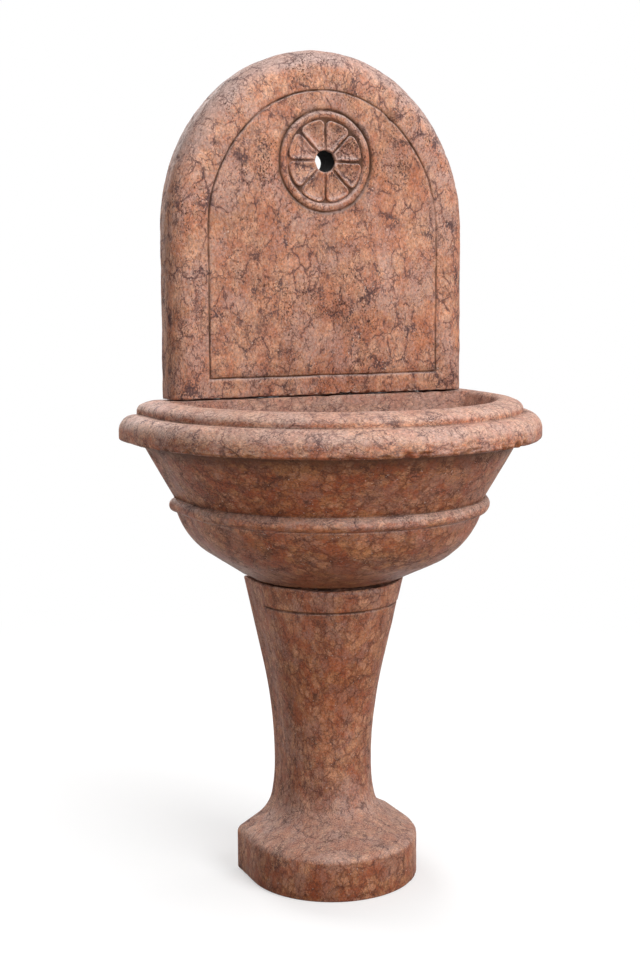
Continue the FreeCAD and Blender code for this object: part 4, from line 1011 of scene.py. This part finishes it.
def rosette_tree():
    """Sets one petal round the spout, each a little different, as carved by hand."""
    inputs = {"Petals": "Int", "Centre": "Vector", "Unevenness": "Float", "Seed": "Int", "Finish": "Material"}
    graph, (petal, petals, centre, unevenness, seed, finish) = new_shape_tree("rosette", inputs)
    line = {"Count": petals, "Start Location": centre, "Offset": (0, 0, 0)}
    spots = graph.node("GeometryNodeMeshLine", line)
    turn = graph.math("DIVIDE", 2 * math.pi, petals)
    number = graph.node("GeometryNodeInputIndex")
    angle = graph.times(graph.plus(number, 0.5), turn)
    low = graph.minus(1, unevenness)
    size = graph.node(
        "FunctionNodeRandomValue",
        {"Min": graph.join(low, low, low), "Max": (1, 1, 1), "Seed": seed},
        data_type="FLOAT_VECTOR",
    )
    set_round = graph.node(
        "GeometryNodeInstanceOnPoints",
        {"Points": spots, "Instance": petal, "Rotation": graph.join(0, angle, 0), "Scale": size},
    )
    return finish_tree(graph, set_round, finish)


def make_rosette(finish):
    petals = petal_piece()
    centre = (0, WALL - SLAB_THICKNESS * MM, (SLAB_FOOT + ROSETTE_RISE) * MM)
    grow(petals, ROSETTE, petals=8, centre=centre, unevenness=0.035, seed=5, finish=finish)
    weather(petals, 7.6, finish, wave=1.6, ripple=1.4, wander=3.4, chip=0.8)
    close_up(petals)
    return petals


# The fountain

TURNED = turned_stone_tree()
WEATHERED = weathered_tree()
ROSETTE = rosette_tree()

slab_marble = red_marble(
    "slab_marble", bedding=(1, 1.8, 0.76), shift=(0.13, 0.4, 0), exposure=0.68, upward_bleach_and_light=0.2,
    crackle=0.85, mottle=0.5, dusty=1, knotty=0.5, dust_tone=tone(180, 153, 144),
)
basin_marble = red_marble(
    "basin_marble", bedding=(0.9, 0.9, 1.25), shift=(0.7, 0, 0.3), exposure=0.68, upward_bleach_and_light=1.5,
    crackle=0.66, mottle=0.75, dusty=0.55, knotty=0.85, dust_tone=tone(192, 166, 154),
)
pedestal_marble = red_marble(
    "pedestal_marble", bedding=(1.35, 1.9, 1.1), shift=(2.1, 0.6, 0.9), exposure=0.36, upward_bleach_and_light=0.9,
    crackle=0.62, mottle=0.7, dusty=0.35, knotty=0.85, dust_tone=tone(190, 164, 152),
)

stones = {
    "pedestal": make_pedestal(pedestal_marble),
    "basin": make_basin(basin_marble),
    "back_slab": make_slab(slab_marble),
}
for node, stone in stones.items():
    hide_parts(node)
    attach(stone, "fountain")
rosette = make_rosette(slab_marble)
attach(rosette, "fountain")

brass = metal("aged_brass", tone(176, 140, 78), tone(104, 84, 56), 0.32, 0.12)
lead = metal("packer_lead", tone(128, 130, 134), tone(92, 92, 94), 0.5, 0.2, 0.85)
steel = metal("dowel_steel", tone(188, 188, 186), tone(120, 112, 104), 0.3, 0.02)
rubber = black_rubber()
fittings = (
    (steel, ("pedestal_dowels", "slab_dowels", "wall_tie_sockets")),
    (lead, ("pedestal_packers", "slab_packers")),
    (brass, ("waste_body", "waste_backnut", "union_nut", "waste_bend", "overflow_standpipe")),
    (rubber, ("waste_seal", "waste_lower_seal", "union_seal", "standpipe_o_ring")),
)
for finish, nodes in fittings:
    for node in nodes:
        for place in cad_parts[node].material_slots:
            place.material = finish


# Floor, light and camera


def make_floor():
    """A pale floor that shows white to the camera and still takes the fountain's shadow."""
    floor = new_piece("floor", [(-9, -9, 0), (9, -9, 0), (9, 9, 0), (-9, 9, 0)], [(0, 1, 2, 3)])
    material, graph, _ = new_finish("pale_floor")
    graph.tree.nodes.clear()
    seen = direct_view(graph)
    spot = graph.node("ShaderNodeTexCoord", out="Object")
    away = graph.node("ShaderNodeVectorMath", {0: spot}, out="Value", operation="LENGTH")
    far = graph.ramp(away, 0.7, 2.4)
    matt = graph.node("ShaderNodeBsdfDiffuse", {"Color": (0.62, 0.62, 0.62, 1)})
    glow = graph.node("ShaderNodeEmission", {"Strength": graph.times(seen, 0.42)})
    near_floor = graph.node("ShaderNodeAddShader", {0: matt, 1: glow})
    far_floor = graph.node("ShaderNodeEmission", {"Strength": graph.ramp(seen, 0, 1, 0.4, 1)})
    both = graph.node("ShaderNodeMixShader", {0: far, 1: near_floor, 2: far_floor})
    graph.tree.links.new(both, graph.tree.nodes.new("ShaderNodeOutputMaterial").inputs["Surface"])
    floor.data.materials.append(material)


def direct_view(graph):
    """One for rays from the camera and for what shows in gloss and glass, else nothing."""
    path = graph.tree.nodes.new("ShaderNodeLightPath").outputs
    mirrored = graph.higher(path["Is Glossy Ray"], path["Is Transmission Ray"])
    return graph.higher(path["Is Camera Ray"], mirrored)


def make_world():
    """Even studio light with a white background."""
    world = bpy.data.worlds.new("studio")
    world.use_nodes = True
    scene.world = world
    graph = Graph(world.node_tree)
    seen = direct_view(graph)
    background = world.node_tree.nodes["Background"]
    background.inputs["Color"].default_value = (1, 1, 1, 1)
    graph.put(background.inputs["Strength"], graph.ramp(seen, 0, 1, 0.3, 1))


def softbox(name, place, aim, size, power):
    """A large soft lamp."""
    lamp = bpy.data.lights.new(name, "AREA")
    lamp.shape = "DISK"
    lamp.size = size
    lamp.energy = power
    holder = new_object(name, lamp)
    holder.location = place
    holder.rotation_euler = (Vector(aim) - Vector(place)).to_track_quat("-Z", "Y").to_euler()


def make_camera():
    """The photograph's viewpoint, from the front left, a little above the rim."""
    yaw, pitch, roll = 0.4266, -0.1335, -0.0046
    ahead = Vector((math.sin(yaw) * math.cos(pitch), math.cos(yaw) * math.cos(pitch), math.sin(pitch)))
    right = Vector((math.cos(yaw), -math.sin(yaw), 0))
    up = right.cross(ahead)
    right, up = right * math.cos(roll) + up * math.sin(roll), up * math.cos(roll) - right * math.sin(roll)
    lens = bpy.data.cameras.new("camera")
    lens.sensor_fit = "VERTICAL"
    lens.sensor_height = 36
    lens.lens = 56.63
    holder = new_object("camera", lens)
    turn = Matrix((right, up, -ahead)).transposed().to_4x4()
    holder.matrix_world = Matrix.Translation((-1.1411, -2.312, 1.1013)) @ turn
    scene.camera = holder


scene.view_settings.view_transform = "Standard"
make_floor()
make_world()
softbox("key_light", place=(1.1, -2.5, 3.1), aim=(0, 0, 0.9), size=2.2, power=76)
softbox("top_light", place=(0.3, -0.7, 4.8), aim=(0, 0, 0.8), size=2.8, power=98)
softbox("front_light", place=(0.7, -3.2, 0.8), aim=(0, 0, 0.5), size=1.8, power=31.5)
softbox("back_light", place=(-0.4, 3.2, 2.2), aim=(0, 0, 0.8), size=2.2, power=60)
make_camera()
